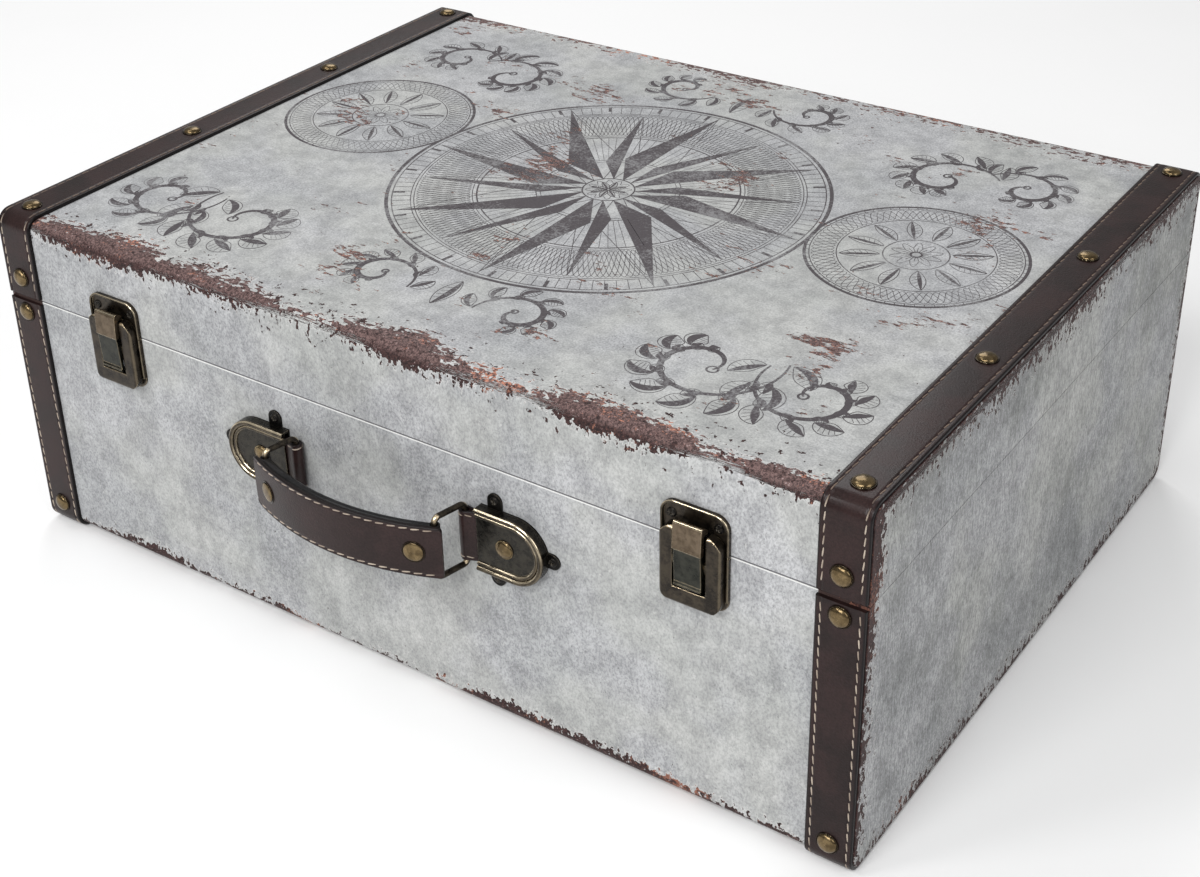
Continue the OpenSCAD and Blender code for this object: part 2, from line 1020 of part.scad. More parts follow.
// Section of the cap's rim: radius from the round end's centre, then distance off the face
module cap_section() {
    translate([mount_r - cap_wall, mount_plate_t])
        square([cap_wall, bead_out - mount_plate_t]);
    difference() {
        union() {
            translate([bead_at, bead_out])
                circle(r = bead_r);
            translate([inner_bead_at, panel_out + panel_t])
                circle(r = inner_bead_r);
            translate([inner_bead_at, panel_out])
                square([bead_at - inner_bead_at, panel_t + 0.2]);
        }
        translate([0, panel_out - 2 * bead_r])
            square([mount_r + over, 2 * bead_r]);
    }
}

// Cap: a rolled rim swept round the D, and a sunk panel. Its flat side is open for the leather
module mount_cap() {
    color(bronze)
        difference() {
            union() {
                translate([mount_round, 0, 0])
                    rotate([0, 0, -90])
                        rotate_extrude(angle = 180)
                            cap_section();
                for (s = [0, 1])
                    mirror([0, s, 0])
                        across(mount_flat, mount_round)
                            cap_section();
                translate([0, 0, panel_out])
                    linear_extrude(height = panel_t)
                        dee(bead_at - 1);
            }
            translate([mount_rivet_x, 0, 0])
                cylinder(r = shank_r + hole_play, h = 20, center = true);
        }
}

module left_mount_cap() {
    left_mount()
        mount_cap();
}

module right_mount_cap() {
    right_mount()
        mount_cap();
}

// Leather strip folded round the ring's bar, both layers going in under the cap
module mount_loop() {
    top = strip_out + 2 * loop_t;
    color(strap_brown)
        difference() {
            union() {
                bar_axis(loop_r, loop_w);
                rotate([90, 0, 0])
                    translate([0, 0, -loop_w / 2])
                        linear_extrude(height = loop_w)
                            polygon([
                                [mount_x + 0.5 * loop_r, bar_out - 0.8 * loop_r],
                                [mount_flat - 0.4, strip_out], [strip_end, strip_out],
                                [strip_end, top], [mount_flat - 0.4, top],
                                [mount_x + 0.5 * loop_r, bar_out + 0.8 * loop_r]
                            ]);
            }
            bar_axis(ring_r + ring_play, loop_w + over);
            translate([mount_rivet_x, 0, 0])
                cylinder(r = shank_r + hole_play, h = 20, center = true);
        }
}

// Upright cylinder on the axis of the ring's inner bar
module bar_axis(r, len) {
    translate([mount_x, 0, bar_out])
        rotate([90, 0, 0])
            cylinder(r = r, h = len, center = true);
}

module left_mount_loop() {
    left_mount()
        mount_loop();
}

module right_mount_loop() {
    right_mount()
        mount_loop();
}

module mount_rivets() {
    color(brass)
        for (s = [0, 1])
            mirror([s, 0, 0])
                on_front(0, handle_z)
                    translate([mount_rivet_x, 0, panel_out + panel_t])
                        fastener(mount_rivet_d, mount_rivet_h, shank_r,
                                 panel_out + panel_t + wrap_t + bite);
}

module mount_screws() {
    color(bronze)
        for (s = [0, 1])
            mirror([s, 0, 0])
                on_front(0, handle_z)
                    for (p = mount_screw_places())
                        translate([p[0], p[1], mount_plate_t])
                            fastener(screw_head_d, screw_head_h, screw_r,
                                     mount_plate_t + wrap_t + bite);
}

// Wire ring: first bar on Z at the origin, second bar ring_l in front of it
module ring() {
    straight = ring_half - ring_elbow;
    color(bronze)
        for (s = [0, 1])
            mirror([0, 0, s]) {
                for (y = [0, -ring_l])
                    translate([0, y, 0])
                        cylinder(r = ring_r, h = straight);
                translate([0, -ring_elbow, ring_half])
                    rotate([90, 0, 0])
                        cylinder(r = ring_r, h = ring_l - 2 * ring_elbow);
                translate([0, -ring_elbow, straight])
                    rotate([90, 0, 90])
                        rotate_extrude(angle = 90)
                            translate([ring_elbow, 0])
                                circle(r = ring_r);
                translate([0, ring_elbow - ring_l, straight])
                    rotate([90, 0, -90])
                        rotate_extrude(angle = 90)
                            translate([ring_elbow, 0])
                                circle(r = ring_r);
            }
}

module leaning(x) {
    translate([x, front_y - bar_out, handle_z])
        rotate([0, 0, -ring_lean])
            children();
}

module left_ring() {
    leaning(-mount_x)
        ring();
}

module right_ring() {
    leaning(mount_x)
        ring();
}

// Grip frame: the middle of the chord between the rings' outer bars
module on_grip() {
    translate([-ring_l * sin(ring_lean), front_y - bar_out - ring_l * cos(ring_lean),
               handle_z])
        children();
}

// Centre of the grip's arc, from the chord
arc_y = grip_r - grip_rise;

// Bent strip between two radii, to an angle each side
module bent_strip(r0, r1, turn, w) {
    reach = 2 * grip_r;
    translate([0, arc_y, -w / 2])
        linear_extrude(height = w)
            intersection() {
                difference() {
                    circle(r = r1, $fn = 180);
                    circle(r = r0, $fn = 180);
                }
                polygon([
                    [0, 0], [-reach * sin(turn), -reach * cos(turn)],
                    [reach * sin(turn), -reach * cos(turn)]
                ]);
            }
}

// Place on the grip's arc, with Z pointing away from the arc's centre
module at_turn(turn, r) {
    translate([0, arc_y, 0])
        rotate([0, 0, turn])
            translate([0, -r, 0])
                rotate([90, 0, 0])
                    children();
}

module grip_rivet_holes() {
    for (turn = [-rivet_turn, rivet_turn])
        at_turn(turn, grip_r)
            cylinder(r = shank_r + hole_play, h = 30, center = true);
}

// Black padded core with an eye round each ring's bar
module grip_core() {
    color(core_black)
        on_grip()
            difference() {
                union() {
                    bent_strip(grip_r - grip_core_t / 2, grip_r + grip_core_t / 2, bar_turn, core_w);
                    for (s = [-1, 1])
                        translate([s * chord_half, 0, 0])
                            cylinder(r = grip_core_t / 2, h = core_w, center = true);
                }
                for (s = [-1, 1])
                    translate([s * chord_half, 0, 0])
                        cylinder(r = ring_r + ring_play, h = core_w + over, center = true);
                grip_rivet_holes();
            }
}

module grip_leather() {
    r0 = grip_r + grip_core_t / 2 + seat;
    color(strap_brown)
        on_grip()
            difference() {
                bent_strip(r0, r0 + grip_front_t, leather_turn, grip_w);
                grip_rivet_holes();
            }
}

module grip_rivets() {
    head_r = grip_r + grip_core_t / 2 + seat + grip_front_t;
    color(brass)
        on_grip()
            for (turn = [-rivet_turn, rivet_turn]) {
                at_turn(turn, head_r)
                    fastener(grip_rivet_d, 1.1, shank_r, grip_core_t + grip_front_t + seat);
                at_turn(turn, back_head_r)
                    mirror([0, 0, 1])
                        fastener(back_head_d, 0.9, shank_r, 1);
            }
}

// Hinges, drawn in the back's face frame at the seam

// One leaf below the seam with two knuckles, or above it with the middle one
module hinge_leaf(upper) {
    side = upper ? 1 : -1;
    own = upper ? [[-knuckle_mid / 2, knuckle_mid / 2]]
                : [[-leaf_w / 2, -knuckle_mid / 2 - 0.3], [knuckle_mid / 2 + 0.3, leaf_w / 2]];
    other = upper ? [[-leaf_w / 2 - over, -knuckle_mid / 2 - 0.15], [knuckle_mid / 2 + 0.15, leaf_w / 2 + over]]
                  : [[-knuckle_mid / 2 - 0.15, knuckle_mid / 2 + 0.15]];
    color(bronze)
        difference() {
            union() {
                difference() {
                    linear_extrude(height = leaf_t)
                        intersection() {
                            rounded(-leaf_w / 2, -leaf_h, leaf_w / 2, leaf_h, 2.5);
                            translate([-leaf_w, side > 0 ? seam_gap / 2 : -leaf_h - seam_gap / 2])
                                square([2 * leaf_w, leaf_h]);
                        }
                    for (k = other)
                        knuckle(k, barrel_r + swing_play);
                }
                for (k = own)
                    knuckle(k, barrel_r);
            }
            knuckle([-leaf_w, leaf_w], hinge_pin_r + pin_play);
            for (x = [-leaf_screw_x, leaf_screw_x])
                translate([x, side * leaf_screw_up, 0])
                    cylinder(r = screw_r + hole_play, h = 4 * leaf_t, center = true);
        }
}

module knuckle(span, r) {
    translate([span[0], 0, hinge_out])
        rotate([0, 90, 0])
            cylinder(r = r, h = span[1] - span[0]);
}

module left_hinge_base_leaf() {
    on_back(-hinge_x, seam_z)
        hinge_leaf(false);
}

module right_hinge_base_leaf() {
    on_back(hinge_x, seam_z)
        hinge_leaf(false);
}

module left_hinge_lid_leaf() {
    on_back(-hinge_x, seam_z)
        hinge_leaf(true);
}

module right_hinge_lid_leaf() {
    on_back(hinge_x, seam_z)
        hinge_leaf(true);
}

// Pin with a small head past each end of the barrel
module hinge_pin() {
    color(bronze) {
        knuckle([-leaf_w / 2 - 0.7, leaf_w / 2 + 0.7], hinge_pin_r);
        knuckle([-leaf_w / 2 - 0.8, -leaf_w / 2 - 0.05], hinge_pin_r + 0.6);
        knuckle([leaf_w / 2 + 0.05, leaf_w / 2 + 0.8], hinge_pin_r + 0.6);
    }
}

module left_hinge_pin() {
    on_back(-hinge_x, seam_z)
        hinge_pin();
}

module right_hinge_pin() {
    on_back(hinge_x, seam_z)
        hinge_pin();
}

module hinge_screws(side) {
    color(bronze)
        for (x = [-hinge_x, hinge_x])
            for (dx = [-leaf_screw_x, leaf_screw_x])
                on_back(x + dx, seam_z + side * leaf_screw_up)
                    translate([0, 0, leaf_t])
                        fastener(screw_head_d, screw_head_h, screw_r, leaf_t + wrap_t + bite);
}

module hinge_base_screws() {
    hinge_screws(-1);
}

module hinge_lid_screws() {
    hinge_screws(1);
}

base_front_board();
base_back_board();
base_left_end();
base_right_end();
base_floor();
base_covering();
base_lining();
base_left_strap();
base_right_strap();
base_rivets();
lid_front_board();
lid_back_board();
lid_left_end();
lid_right_end();
lid_top_board();
lid_covering();
lid_lining();
lid_left_strap();
lid_right_strap();
lid_rivets();
left_keeper();
right_keeper();
keeper_screws();
left_latch_plate();
right_latch_plate();
latch_plate_screws();
left_cover();
right_cover();
left_cover_pin();
right_cover_pin();
left_tongue();
right_tongue();
left_tongue_pin();
right_tongue_pin();
left_latch_spring();
right_latch_spring();
left_mount_plate();
right_mount_plate();
left_mount_cap();
right_mount_cap();
left_mount_loop();
right_mount_loop();
mount_rivets();
mount_screws();
left_ring();
right_ring();
grip_core();
grip_leather();
grip_rivets();
left_hinge_base_leaf();
right_hinge_base_leaf();
left_hinge_lid_leaf();
right_hinge_lid_leaf();
left_hinge_pin();
right_hinge_pin();
hinge_base_screws();
hinge_lid_screws();
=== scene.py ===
# %% [markdown]
# A hard suitcase in Blender
#
# This script dresses that frame. It gives every surface its finish, replaces the plain straps, rivets
# and handle leather with worked forms, sews the seams, and prints the lid.

# %% Load the frame
import json
import math

import bpy
import numpy as np
from mathutils import Matrix, Vector

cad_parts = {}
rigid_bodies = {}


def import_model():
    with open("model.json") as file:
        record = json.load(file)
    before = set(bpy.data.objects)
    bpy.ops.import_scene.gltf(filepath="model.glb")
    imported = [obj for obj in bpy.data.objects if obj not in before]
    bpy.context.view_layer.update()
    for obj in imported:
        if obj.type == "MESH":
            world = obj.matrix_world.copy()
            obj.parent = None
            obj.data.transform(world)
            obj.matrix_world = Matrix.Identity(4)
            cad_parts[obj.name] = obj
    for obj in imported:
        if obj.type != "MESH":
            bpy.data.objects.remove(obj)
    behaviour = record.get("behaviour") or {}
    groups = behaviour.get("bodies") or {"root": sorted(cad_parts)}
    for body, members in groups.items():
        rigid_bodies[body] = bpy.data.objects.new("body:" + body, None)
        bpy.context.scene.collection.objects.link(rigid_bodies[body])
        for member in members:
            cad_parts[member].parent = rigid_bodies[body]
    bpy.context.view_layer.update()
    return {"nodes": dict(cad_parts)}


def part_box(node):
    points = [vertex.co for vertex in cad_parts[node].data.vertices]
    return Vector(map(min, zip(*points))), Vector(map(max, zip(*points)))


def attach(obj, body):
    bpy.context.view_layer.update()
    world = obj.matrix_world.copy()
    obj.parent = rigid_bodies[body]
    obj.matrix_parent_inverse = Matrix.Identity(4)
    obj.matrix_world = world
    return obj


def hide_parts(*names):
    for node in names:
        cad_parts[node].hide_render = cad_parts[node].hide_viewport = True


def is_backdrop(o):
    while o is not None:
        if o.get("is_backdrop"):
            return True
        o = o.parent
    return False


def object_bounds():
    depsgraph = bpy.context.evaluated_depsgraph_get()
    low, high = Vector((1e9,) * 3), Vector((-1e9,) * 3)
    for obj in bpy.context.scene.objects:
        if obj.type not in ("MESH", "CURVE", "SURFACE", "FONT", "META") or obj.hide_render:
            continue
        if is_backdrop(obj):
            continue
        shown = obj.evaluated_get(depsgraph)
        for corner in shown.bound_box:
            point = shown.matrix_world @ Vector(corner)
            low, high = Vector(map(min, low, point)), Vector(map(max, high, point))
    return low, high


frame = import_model()
scene = bpy.context.scene
MM = 0.001
print(len(frame["nodes"]), "nodes in the frame")

# %% [markdown]
# Places read from the frame. A box of a node gives its lowest and highest corner, and from the boxes
# of covering, straps and fittings come all the places that the dressing needs, so nothing is fitted
# by eye. Only radii and sheet thicknesses, which a box doesn't tell, are repeated from the model.

# %% Places on the case
base_low, base_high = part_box("base_covering")
lid_low, lid_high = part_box("lid_covering")
HALF_W = lid_high.x
FRONT, BACK = lid_low.y, lid_high.y
FLOOR, TOP = base_low.z, lid_high.z
STRAP_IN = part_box("lid_right_strap")[0].x
SEAM = (base_high.z + lid_low.z) / 2
EDGE_R = 5.5 * MM
print("case %.0f x %.0f x %.0f mm" % (2 * HALF_W / MM, (BACK - FRONT) / MM, (TOP - FLOOR) / MM))

# %% [markdown]
# Building surfaces. Straps, beads, rivets and thread could be pushed into shape from Blender's own
# bodies, but a formula gives each point at once. Every new piece is a grid of points worked out as
# whole arrays: rows run along a path, columns run round a profile. The next helpers turn such a grid
# into a mesh whose faces look outwards, with the ends closed.

# %% Grid and mesh helpers
def grid_quads(rows, columns, start=0, round_columns=True, round_rows=False):
    """Quads between neighbours on a grid, where point (i, j) has the number start + i * columns + j."""
    last_row = rows if round_rows else rows - 1
    last_column = columns if round_columns else columns - 1
    i, j = np.meshgrid(np.arange(last_row), np.arange(last_column), indexing="ij")
    i_next, j_next = (i + 1) % rows, (j + 1) % columns
    corners = [i * columns + j, i * columns + j_next, i_next * columns + j_next, i_next * columns + j]
    return np.stack(corners, -1).reshape(-1, 4) + start


def signed_volume(points, faces):
    """Sum over the faces' fans of (a . b x c) / 6, which is below zero when the faces look inwards."""
    total = 0.0
    for size in {len(f) for f in faces}:
        corners = points[np.array([f for f in faces if len(f) == size])]
        for k in range(1, size - 1):
            crossed = np.cross(corners[:, k], corners[:, k + 1])
            total += np.einsum("ij,ij->", corners[:, 0], crossed) / 6
    return total


def make_piece(name, points, faces, material, uv=None, closed=True, sharp=50):
    """Mesh from points and faces, turned outwards if it is closed; uv holds two numbers for each point."""
    faces = [list(map(int, f)) for f in faces]
    if closed and signed_volume(points, faces) < 0:
        faces = [f[::-1] for f in faces]
    mesh = bpy.data.meshes.new(name)
    mesh.from_pydata(points.tolist(), [], faces)
    mesh.polygons.foreach_set("use_smooth", np.ones(len(mesh.polygons), bool))
    mesh.set_sharp_from_angle(angle=math.radians(sharp))
    if uv is not None:
        corner = np.empty(len(mesh.loops), int)
        mesh.loops.foreach_get("vertex_index", corner)
        layer = mesh.uv_layers.new(name="along_and_across")
        layer.data.foreach_set("uv", uv[corner].ravel())
    mesh.materials.append(material)
    piece = bpy.data.objects.new(name, mesh)
    scene.collection.objects.link(piece)
    return piece


# %% Sweep helper
def travelled(path):
    """Distance along a path at each of its points."""
    step = np.linalg.norm(np.diff(path, axis=0), axis=1)
    return np.concatenate([[0], np.cumsum(step)])


def swept(name, path, out, side, profile, material, narrow=1.0):
    """Profile carried along a path: point = path + side * across + out * height, with flat closed ends.

    path and out are rows of points and unit vectors, side is one unit vector, profile holds rows of
    (across, height), and narrow scales the width of each row. UV is (distance along, across)."""
    rows, columns = len(path), len(profile)
    across = profile[None, :, :1] * np.broadcast_to(narrow, rows)[:, None, None]
    points = path[:, None] + side * across + out[:, None] * profile[None, :, 1:]
    uv = np.empty((rows, columns, 2))
    uv[..., 0] = travelled(path)[:, None]
    uv[..., 1] = profile[None, :, 0]
    faces = grid_quads(rows, columns).tolist()
    faces.append(list(range(columns)))
    faces.append(list(range((rows - 1) * columns, rows * columns))[::-1])
    return make_piece(name, points.reshape(-1, 3), faces, material, uv.reshape(-1, 2))


# %% [markdown]
# Materials. A few small helpers keep the node trees readable: one adds a node, one does a sum on
# sockets or numbers, and one starts a group with named inputs and outputs. Groups hold the effects
# that several finishes share. Shaders themselves stay in each material.

# %% Node helpers
def add_node(tree, kind, **settings):
    """A new node of a kind, with its settings."""
    made = tree.nodes.new(kind)
    for key, value in settings.items():
        setattr(made, key, value)
    return made


def feed(tree, socket, value):
    """Links value into socket if it is a socket itself, and otherwise sets it as the default."""
    if isinstance(value, bpy.types.NodeSocket):
        tree.links.new(value, socket)
    else:
        socket.default_value = value


def calc(tree, operation, *values):
    """Math node on numbers or sockets; gives its output."""
    made = add_node(tree, "ShaderNodeMath", operation=operation)
    for socket, value in zip(made.inputs, values):
        feed(tree, socket, value)
    return made.outputs[0]


def remap(tree, value, low, high, to_low=0.0, to_high=1.0):
    """Smooth step of a value from low..high to to_low..to_high."""
    made = add_node(tree, "ShaderNodeMapRange", interpolation_type="SMOOTHSTEP")
    for socket, number in zip(made.inputs[:5], (value, low, high, to_low, to_high)):
        feed(tree, socket, number)
    return made.outputs[0]


# %% Texture helpers
def noise(tree, vector, scale, detail=4.0, rough=0.55):
    """Noise texture's grey output for a position in millimetres and a scale per millimetre."""
    made = add_node(tree, "ShaderNodeTexNoise")
    feed(tree, made.inputs["Vector"], vector)
    made.inputs["Scale"].default_value = scale
    made.inputs["Detail"].default_value = detail
    made.inputs["Roughness"].default_value = rough
    return made.outputs["Fac"]


def stretch(tree, vector, scale, shift=(0, 0, 0)):
    """Mapping node that scales and shifts a position."""
    made = add_node(tree, "ShaderNodeMapping")
    feed(tree, made.inputs["Vector"], vector)
    made.inputs["Scale"].default_value = scale
    made.inputs["Location"].default_value = shift
    return made.outputs[0]


def blend_colour(tree, share, first, second, mode="MIX"):
    """Mix of two colours by a share from 0 to 1."""
    made = add_node(tree, "ShaderNodeMix", data_type="RGBA", blend_type=mode)
    feed(tree, made.inputs["Factor"], share)
    feed(tree, made.inputs["A"], first)
    feed(tree, made.inputs["B"], second)
    return made.outputs["Result"]


def colour(red, green, blue):
    """Linear colour from screen values of 0 to 255."""
    screen = np.array([red, green, blue]) / 255
    linear = np.where(screen <= 0.04045, screen / 12.92, ((screen + 0.055) / 1.055) ** 2.4)
    return (*linear.tolist(), 1.0)


# %% Group and material helpers
def new_group(name, inputs, outputs):
    """Empty shader group; inputs and outputs are rows of (name, socket kind)."""
    tree = bpy.data.node_groups.new(name, "ShaderNodeTree")
    for label, kind in inputs:
        tree.interface.new_socket(name=label, in_out="INPUT", socket_type=kind)
    for label, kind in outputs:
        tree.interface.new_socket(name=label, in_out="OUTPUT", socket_type=kind)
    return tree, tree.nodes.new("NodeGroupInput").outputs, tree.nodes.new("NodeGroupOutput").inputs


def use_group(tree, group, **values):
    """Places a group in a tree and feeds its named inputs; gives its outputs."""
    made = add_node(tree, "ShaderNodeGroup", node_tree=group)
    for key, value in values.items():
        feed(tree, made.inputs[key], value)
    return made.outputs


def new_material(name):
    """Material with a fresh tree; gives the material, its tree and its Principled shader."""
    material = bpy.data.materials.new(name)
    material.use_nodes = True
    tree = material.node_tree
    shader = tree.nodes["Principled BSDF"]
    return material, tree, shader


def position_mm(tree):
    """Object position in millimetres."""
    place = add_node(tree, "ShaderNodeTexCoord").outputs["Object"]
    return stretch(tree, place, (1000, 1000, 1000))


def bump(tree, height, distance, normal=None):
    """Bump node at full strength; distance is the depth in metres."""
    made = add_node(tree, "ShaderNodeBump")
    made.inputs["Distance"].default_value = distance
    feed(tree, made.inputs["Height"], height)
    if normal is not None:
        feed(tree, made.inputs["Normal"], normal)
    return made.outputs[0]


def split_axes(tree, vector):
    """The three numbers of a position or a direction, as sockets."""
    made = add_node(tree, "ShaderNodeSeparateXYZ")
    feed(tree, made.inputs[0], vector)
    return made.outputs


def shifted(tree, vector, *by):
    """Position moved by three numbers, so that a second noise doesn't repeat the first."""
    return stretch(tree, vector, (1, 1, 1), by)


# %% Colour helpers
def grey(level):
    """Neutral colour from one screen value."""
    return colour(level, level, level)


def tone(tree, value, low, high, first, second):
    """Colour that goes from first to second while a value goes from low to high."""
    return blend_colour(tree, remap(tree, value, low, high), first, second)


def times(tree, first, second):
    """Product of two colours: the second darkens the first."""
    return blend_colour(tree, 1.0, first, second, "MULTIPLY")


F, V = "NodeSocketFloat", "NodeSocketVector"
WHITE = grey(255)

# %% [markdown]
# Worn edges. On the real case the printed paper has rubbed off along the edges and shows a brown
# ground with rust-coloured specks. A painted mask would blur from near, so one group works the wear
# out from the position alone: how far a point lies from each edge of the box, against a reach that
# wanders along the edge, with a ragged limit. On the top the ragged limit is drawn out along the
# edge, and on the sides it hangs down in small brush strokes. Just outside the limit the paper has
# lifted and is paler. The lid's print uses the same group, so it is rubbed off in the same places.

# %% Distances from the faces and edges
# Faces that meet, how far the wear runs on each, its reach in millimetres, and how ragged it is
EDGE_WEAR = [
    ("top", 0.9, "front", 1.5, 6.0, 2.6),
    ("top", 1.0, "back", 2.2, 3.4, 3.0),
    ("floor", 1.0, "front", 1.0, 5.2, 2.4),
    ("floor", 1.0, "back", 1.0, 4.8, 2.4),
    ("end", 1.0, "top", 1.0, 5.4, 7.0),
    ("end", 1.0, "front", 1.0, 6.4, 4.0),
    ("end", 1.0, "back", 1.0, 2.2, 4.0),
    ("end", 1.0, "floor", 1.0, 3.2, 5.4),
]


def face_distances(tree, x, y, z):
    """How far a point lies from each face of the box, in millimetres."""
    return {
        "end": calc(tree, "SUBTRACT", HALF_W / MM, calc(tree, "ABSOLUTE", x)),
        "front": calc(tree, "SUBTRACT", y, FRONT / MM),
        "back": calc(tree, "SUBTRACT", BACK / MM, y),
        "top": calc(tree, "SUBTRACT", TOP / MM, z),
        "floor": calc(tree, "SUBTRACT", z, FLOOR / MM),
    }


def worn_depth(tree, near, x, share, torn):
    """How deep a point lies in the worn band, in millimetres: the largest value over the edges.

    Depth = share * reach - distance + torn * raggedness, with distance = max(first / its scale,
    second / its scale). The lid's front edge is worn less towards its right end."""
    worn = None
    for first, first_scale, second, second_scale, reach, raggedness in EDGE_WEAR:
        on_first = calc(tree, "DIVIDE", near[first], first_scale)
        on_second = calc(tree, "DIVIDE", near[second], second_scale)
        distance = calc(tree, "MAXIMUM", on_first, on_second)
        if (first, second) == ("top", "front"):
            distance = calc(tree, "MULTIPLY", distance, remap(tree, x, 110.0, 190.0, 1.0, 1.8))
        over = calc(tree, "SUBTRACT", calc(tree, "MULTIPLY", share, reach), distance)
        over = calc(tree, "MULTIPLY_ADD", torn, raggedness, over)
        worn = over if worn is None else calc(tree, "MAXIMUM", worn, over)
    return worn


# %% Torn limit, bare patches and chips
def torn_limit(tree, brush):
    """Raggedness: 2.6 * coarse noise + 9 * fine noise - 5.8, which is about zero on average."""
    coarse = noise(tree, brush, 0.12, 3.0, 0.6)
    fine = noise(tree, brush, 0.4, 4.0, 0.64)
    torn = calc(tree, "MULTIPLY_ADD", coarse, 2.6, -5.8)
    return calc(tree, "MULTIPLY_ADD", fine, 9.0, torn)


def bare_patches(tree, place, on_top):
    """Slow noise + 0.8 * torn noise - 0.07 on the top, one less elsewhere: a patch is where it passes 1."""
    patch = noise(tree, shifted(tree, place, 190, 40, 0), 0.024, 3.0, 0.55)
    torn = noise(tree, stretch(tree, place, (0.5, 1.3, 1)), 0.3, 5.0, 0.7)
    height = calc(tree, "MULTIPLY_ADD", torn, 0.8, calc(tree, "SUBTRACT", patch, 0.07))
    return calc(tree, "ADD", on_top, calc(tree, "SUBTRACT", height, 1.0))


def small_chips(tree, down, near):
    """Mask of chips, which are thick near the lid's front edge and rare past 20 mm from it."""
    nearness = calc(tree, "MAXIMUM", near["top"], calc(tree, "MULTIPLY", near["front"], 0.6))
    closeness = remap(tree, nearness, 5.0, 20.0, 0.13, 0.0)
    return remap(tree, calc(tree, "ADD", noise(tree, down, 0.34, 3.0, 0.6), closeness), 0.735, 0.75)


# %% Rust specks
def rust_in_band(tree, place, specks, worn, on_top, at_end):
    """Specks in spells along the worn band, thickest at its limit, fewer on the sides and at the ends."""
    spells = noise(tree, shifted(tree, place, 70, 0, 0), 0.026, 2.0, 0.5)
    fringe = remap(tree, worn, 0.4, 3.2, 0.075, 0.0)
    thick = calc(tree, "ADD", calc(tree, "MULTIPLY_ADD", spells, 0.9, specks), fringe)
    rust = remap(tree, thick, 1.11, 1.19)
    rust = calc(tree, "MULTIPLY", rust, remap(tree, on_top, 0.0, 1.0, 0.45, 0.9))
    return calc(tree, "MULTIPLY", rust, remap(tree, at_end, 0.0, 1.0, 1.0, 0.5))


def rust_in_patches(tree, specks, height):
    """Specks in the bare patches, thickest at their rims."""
    rim = remap(tree, height, 1.01, 1.08, 0.12, -0.04)
    return remap(tree, calc(tree, "ADD", specks, rim), 0.58, 0.74)


# %% Case wear group
def make_wear_group():
    """Masks of the covering's wear: bare ground, rust, its dark shade, flecks in the print, lifted paper."""
    outputs = [("Ground", F), ("Rust", F), ("Dark", F), ("Flecks", F), ("Lifted", F)]
    tree, given, result = new_group("Case wear", [("Position", V)], outputs)
    place = given["Position"]
    x, y, z = split_axes(tree, place)
    near = face_distances(tree, x, y, z)
    on_top = remap(tree, near["top"], 1.0, 4.0, 1.0, 0.0)
    at_end = remap(tree, near["end"], 5.0, 8.0, 1.0, 0.0)

    down = stretch(tree, place, (1.0, 1.0, 0.7))
    brush = add_node(tree, "ShaderNodeMix", data_type="VECTOR")
    feed(tree, brush.inputs["Factor"], on_top)
    feed(tree, brush.inputs["A"], down)
    feed(tree, brush.inputs["B"], stretch(tree, place, (0.6, 1.1, 1.0)))
    share = remap(tree, noise(tree, place, 0.018, 2.0, 0.5), 0.32, 0.68, 0.35, 1.5)
    worn = worn_depth(tree, near, x, share, torn_limit(tree, brush.outputs["Result"]))
    band = remap(tree, worn, -0.1, 0.15)
    height = bare_patches(tree, place, on_top)
    patch = remap(tree, height, 1.0, 1.015)
    chip = small_chips(tree, down, near)

    specks = noise(tree, stretch(tree, place, (0.8, 1.2, 0.8)), 0.8, 4.0, 0.7)
    rust_band = calc(tree, "MULTIPLY", rust_in_band(tree, place, specks, worn, on_top, at_end), band)
    rust_patch = calc(tree, "MULTIPLY", rust_in_patches(tree, specks, height), patch)
    dark = calc(tree, "MAXIMUM", calc(tree, "SUBTRACT", 1.0, on_top), at_end)
    fleck = noise(tree, stretch(tree, place, (1.1, 1.1, 0.7)), 0.8, 2.0, 0.5)
    feed(tree, result["Ground"], calc(tree, "MAXIMUM", calc(tree, "MAXIMUM", band, patch), chip))
    feed(tree, result["Rust"], calc(tree, "MAXIMUM", rust_band, rust_patch))
    feed(tree, result["Dark"], calc(tree, "MAXIMUM", dark, chip))
    feed(tree, result["Flecks"], remap(tree, fleck, 0.70, 0.75))
    feed(tree, result["Lifted"], remap(tree, worn, -2.2, -0.3))
    return tree


wear_group = make_wear_group()
print("case wear:", len(wear_group.nodes), "nodes for", len(EDGE_WEAR), "kinds of edge")

# %% [markdown]
# The covering is matt paper printed like old plaster: pale grey, mottled in soft clouds, with fine
# dusty grain, dark flecks and pale smudges. Noises of different size, multiplied together, make the
# clouds and the grain, which keeps them sharp from near where a picture would blur. The ends are
# darker, with upright streaks and smoky clouds. The front has a painted shade that darkens it a
# little towards the left, where less light falls.

# %% Paper tones
def plaster_tones(tree, place, mottle, grain):
    """Pale plaster: slow clouds * mottling * a cool or warm tint * dusty grain."""
    clouds = noise(tree, place, 0.02, 4.0, 0.6)
    tint = noise(tree, shifted(tree, place, 50, 90, 10), 0.02, 2.0, 0.5)
    paper = tone(tree, clouds, 0.3, 0.7, colour(185, 186, 186), grey(199))
    paper = times(tree, paper, tone(tree, mottle, 0.32, 0.66, colour(217, 217, 218), WHITE))
    paper = times(tree, paper, tone(tree, tint, 0.4, 0.62, colour(250, 251, 253), colour(252, 253, 250)))
    dust = tone(tree, tint, 0.4, 0.6, colour(206, 206, 207), colour(223, 223, 224))
    return times(tree, paper, tone(tree, grain, 0.36, 0.6, dust, WHITE))


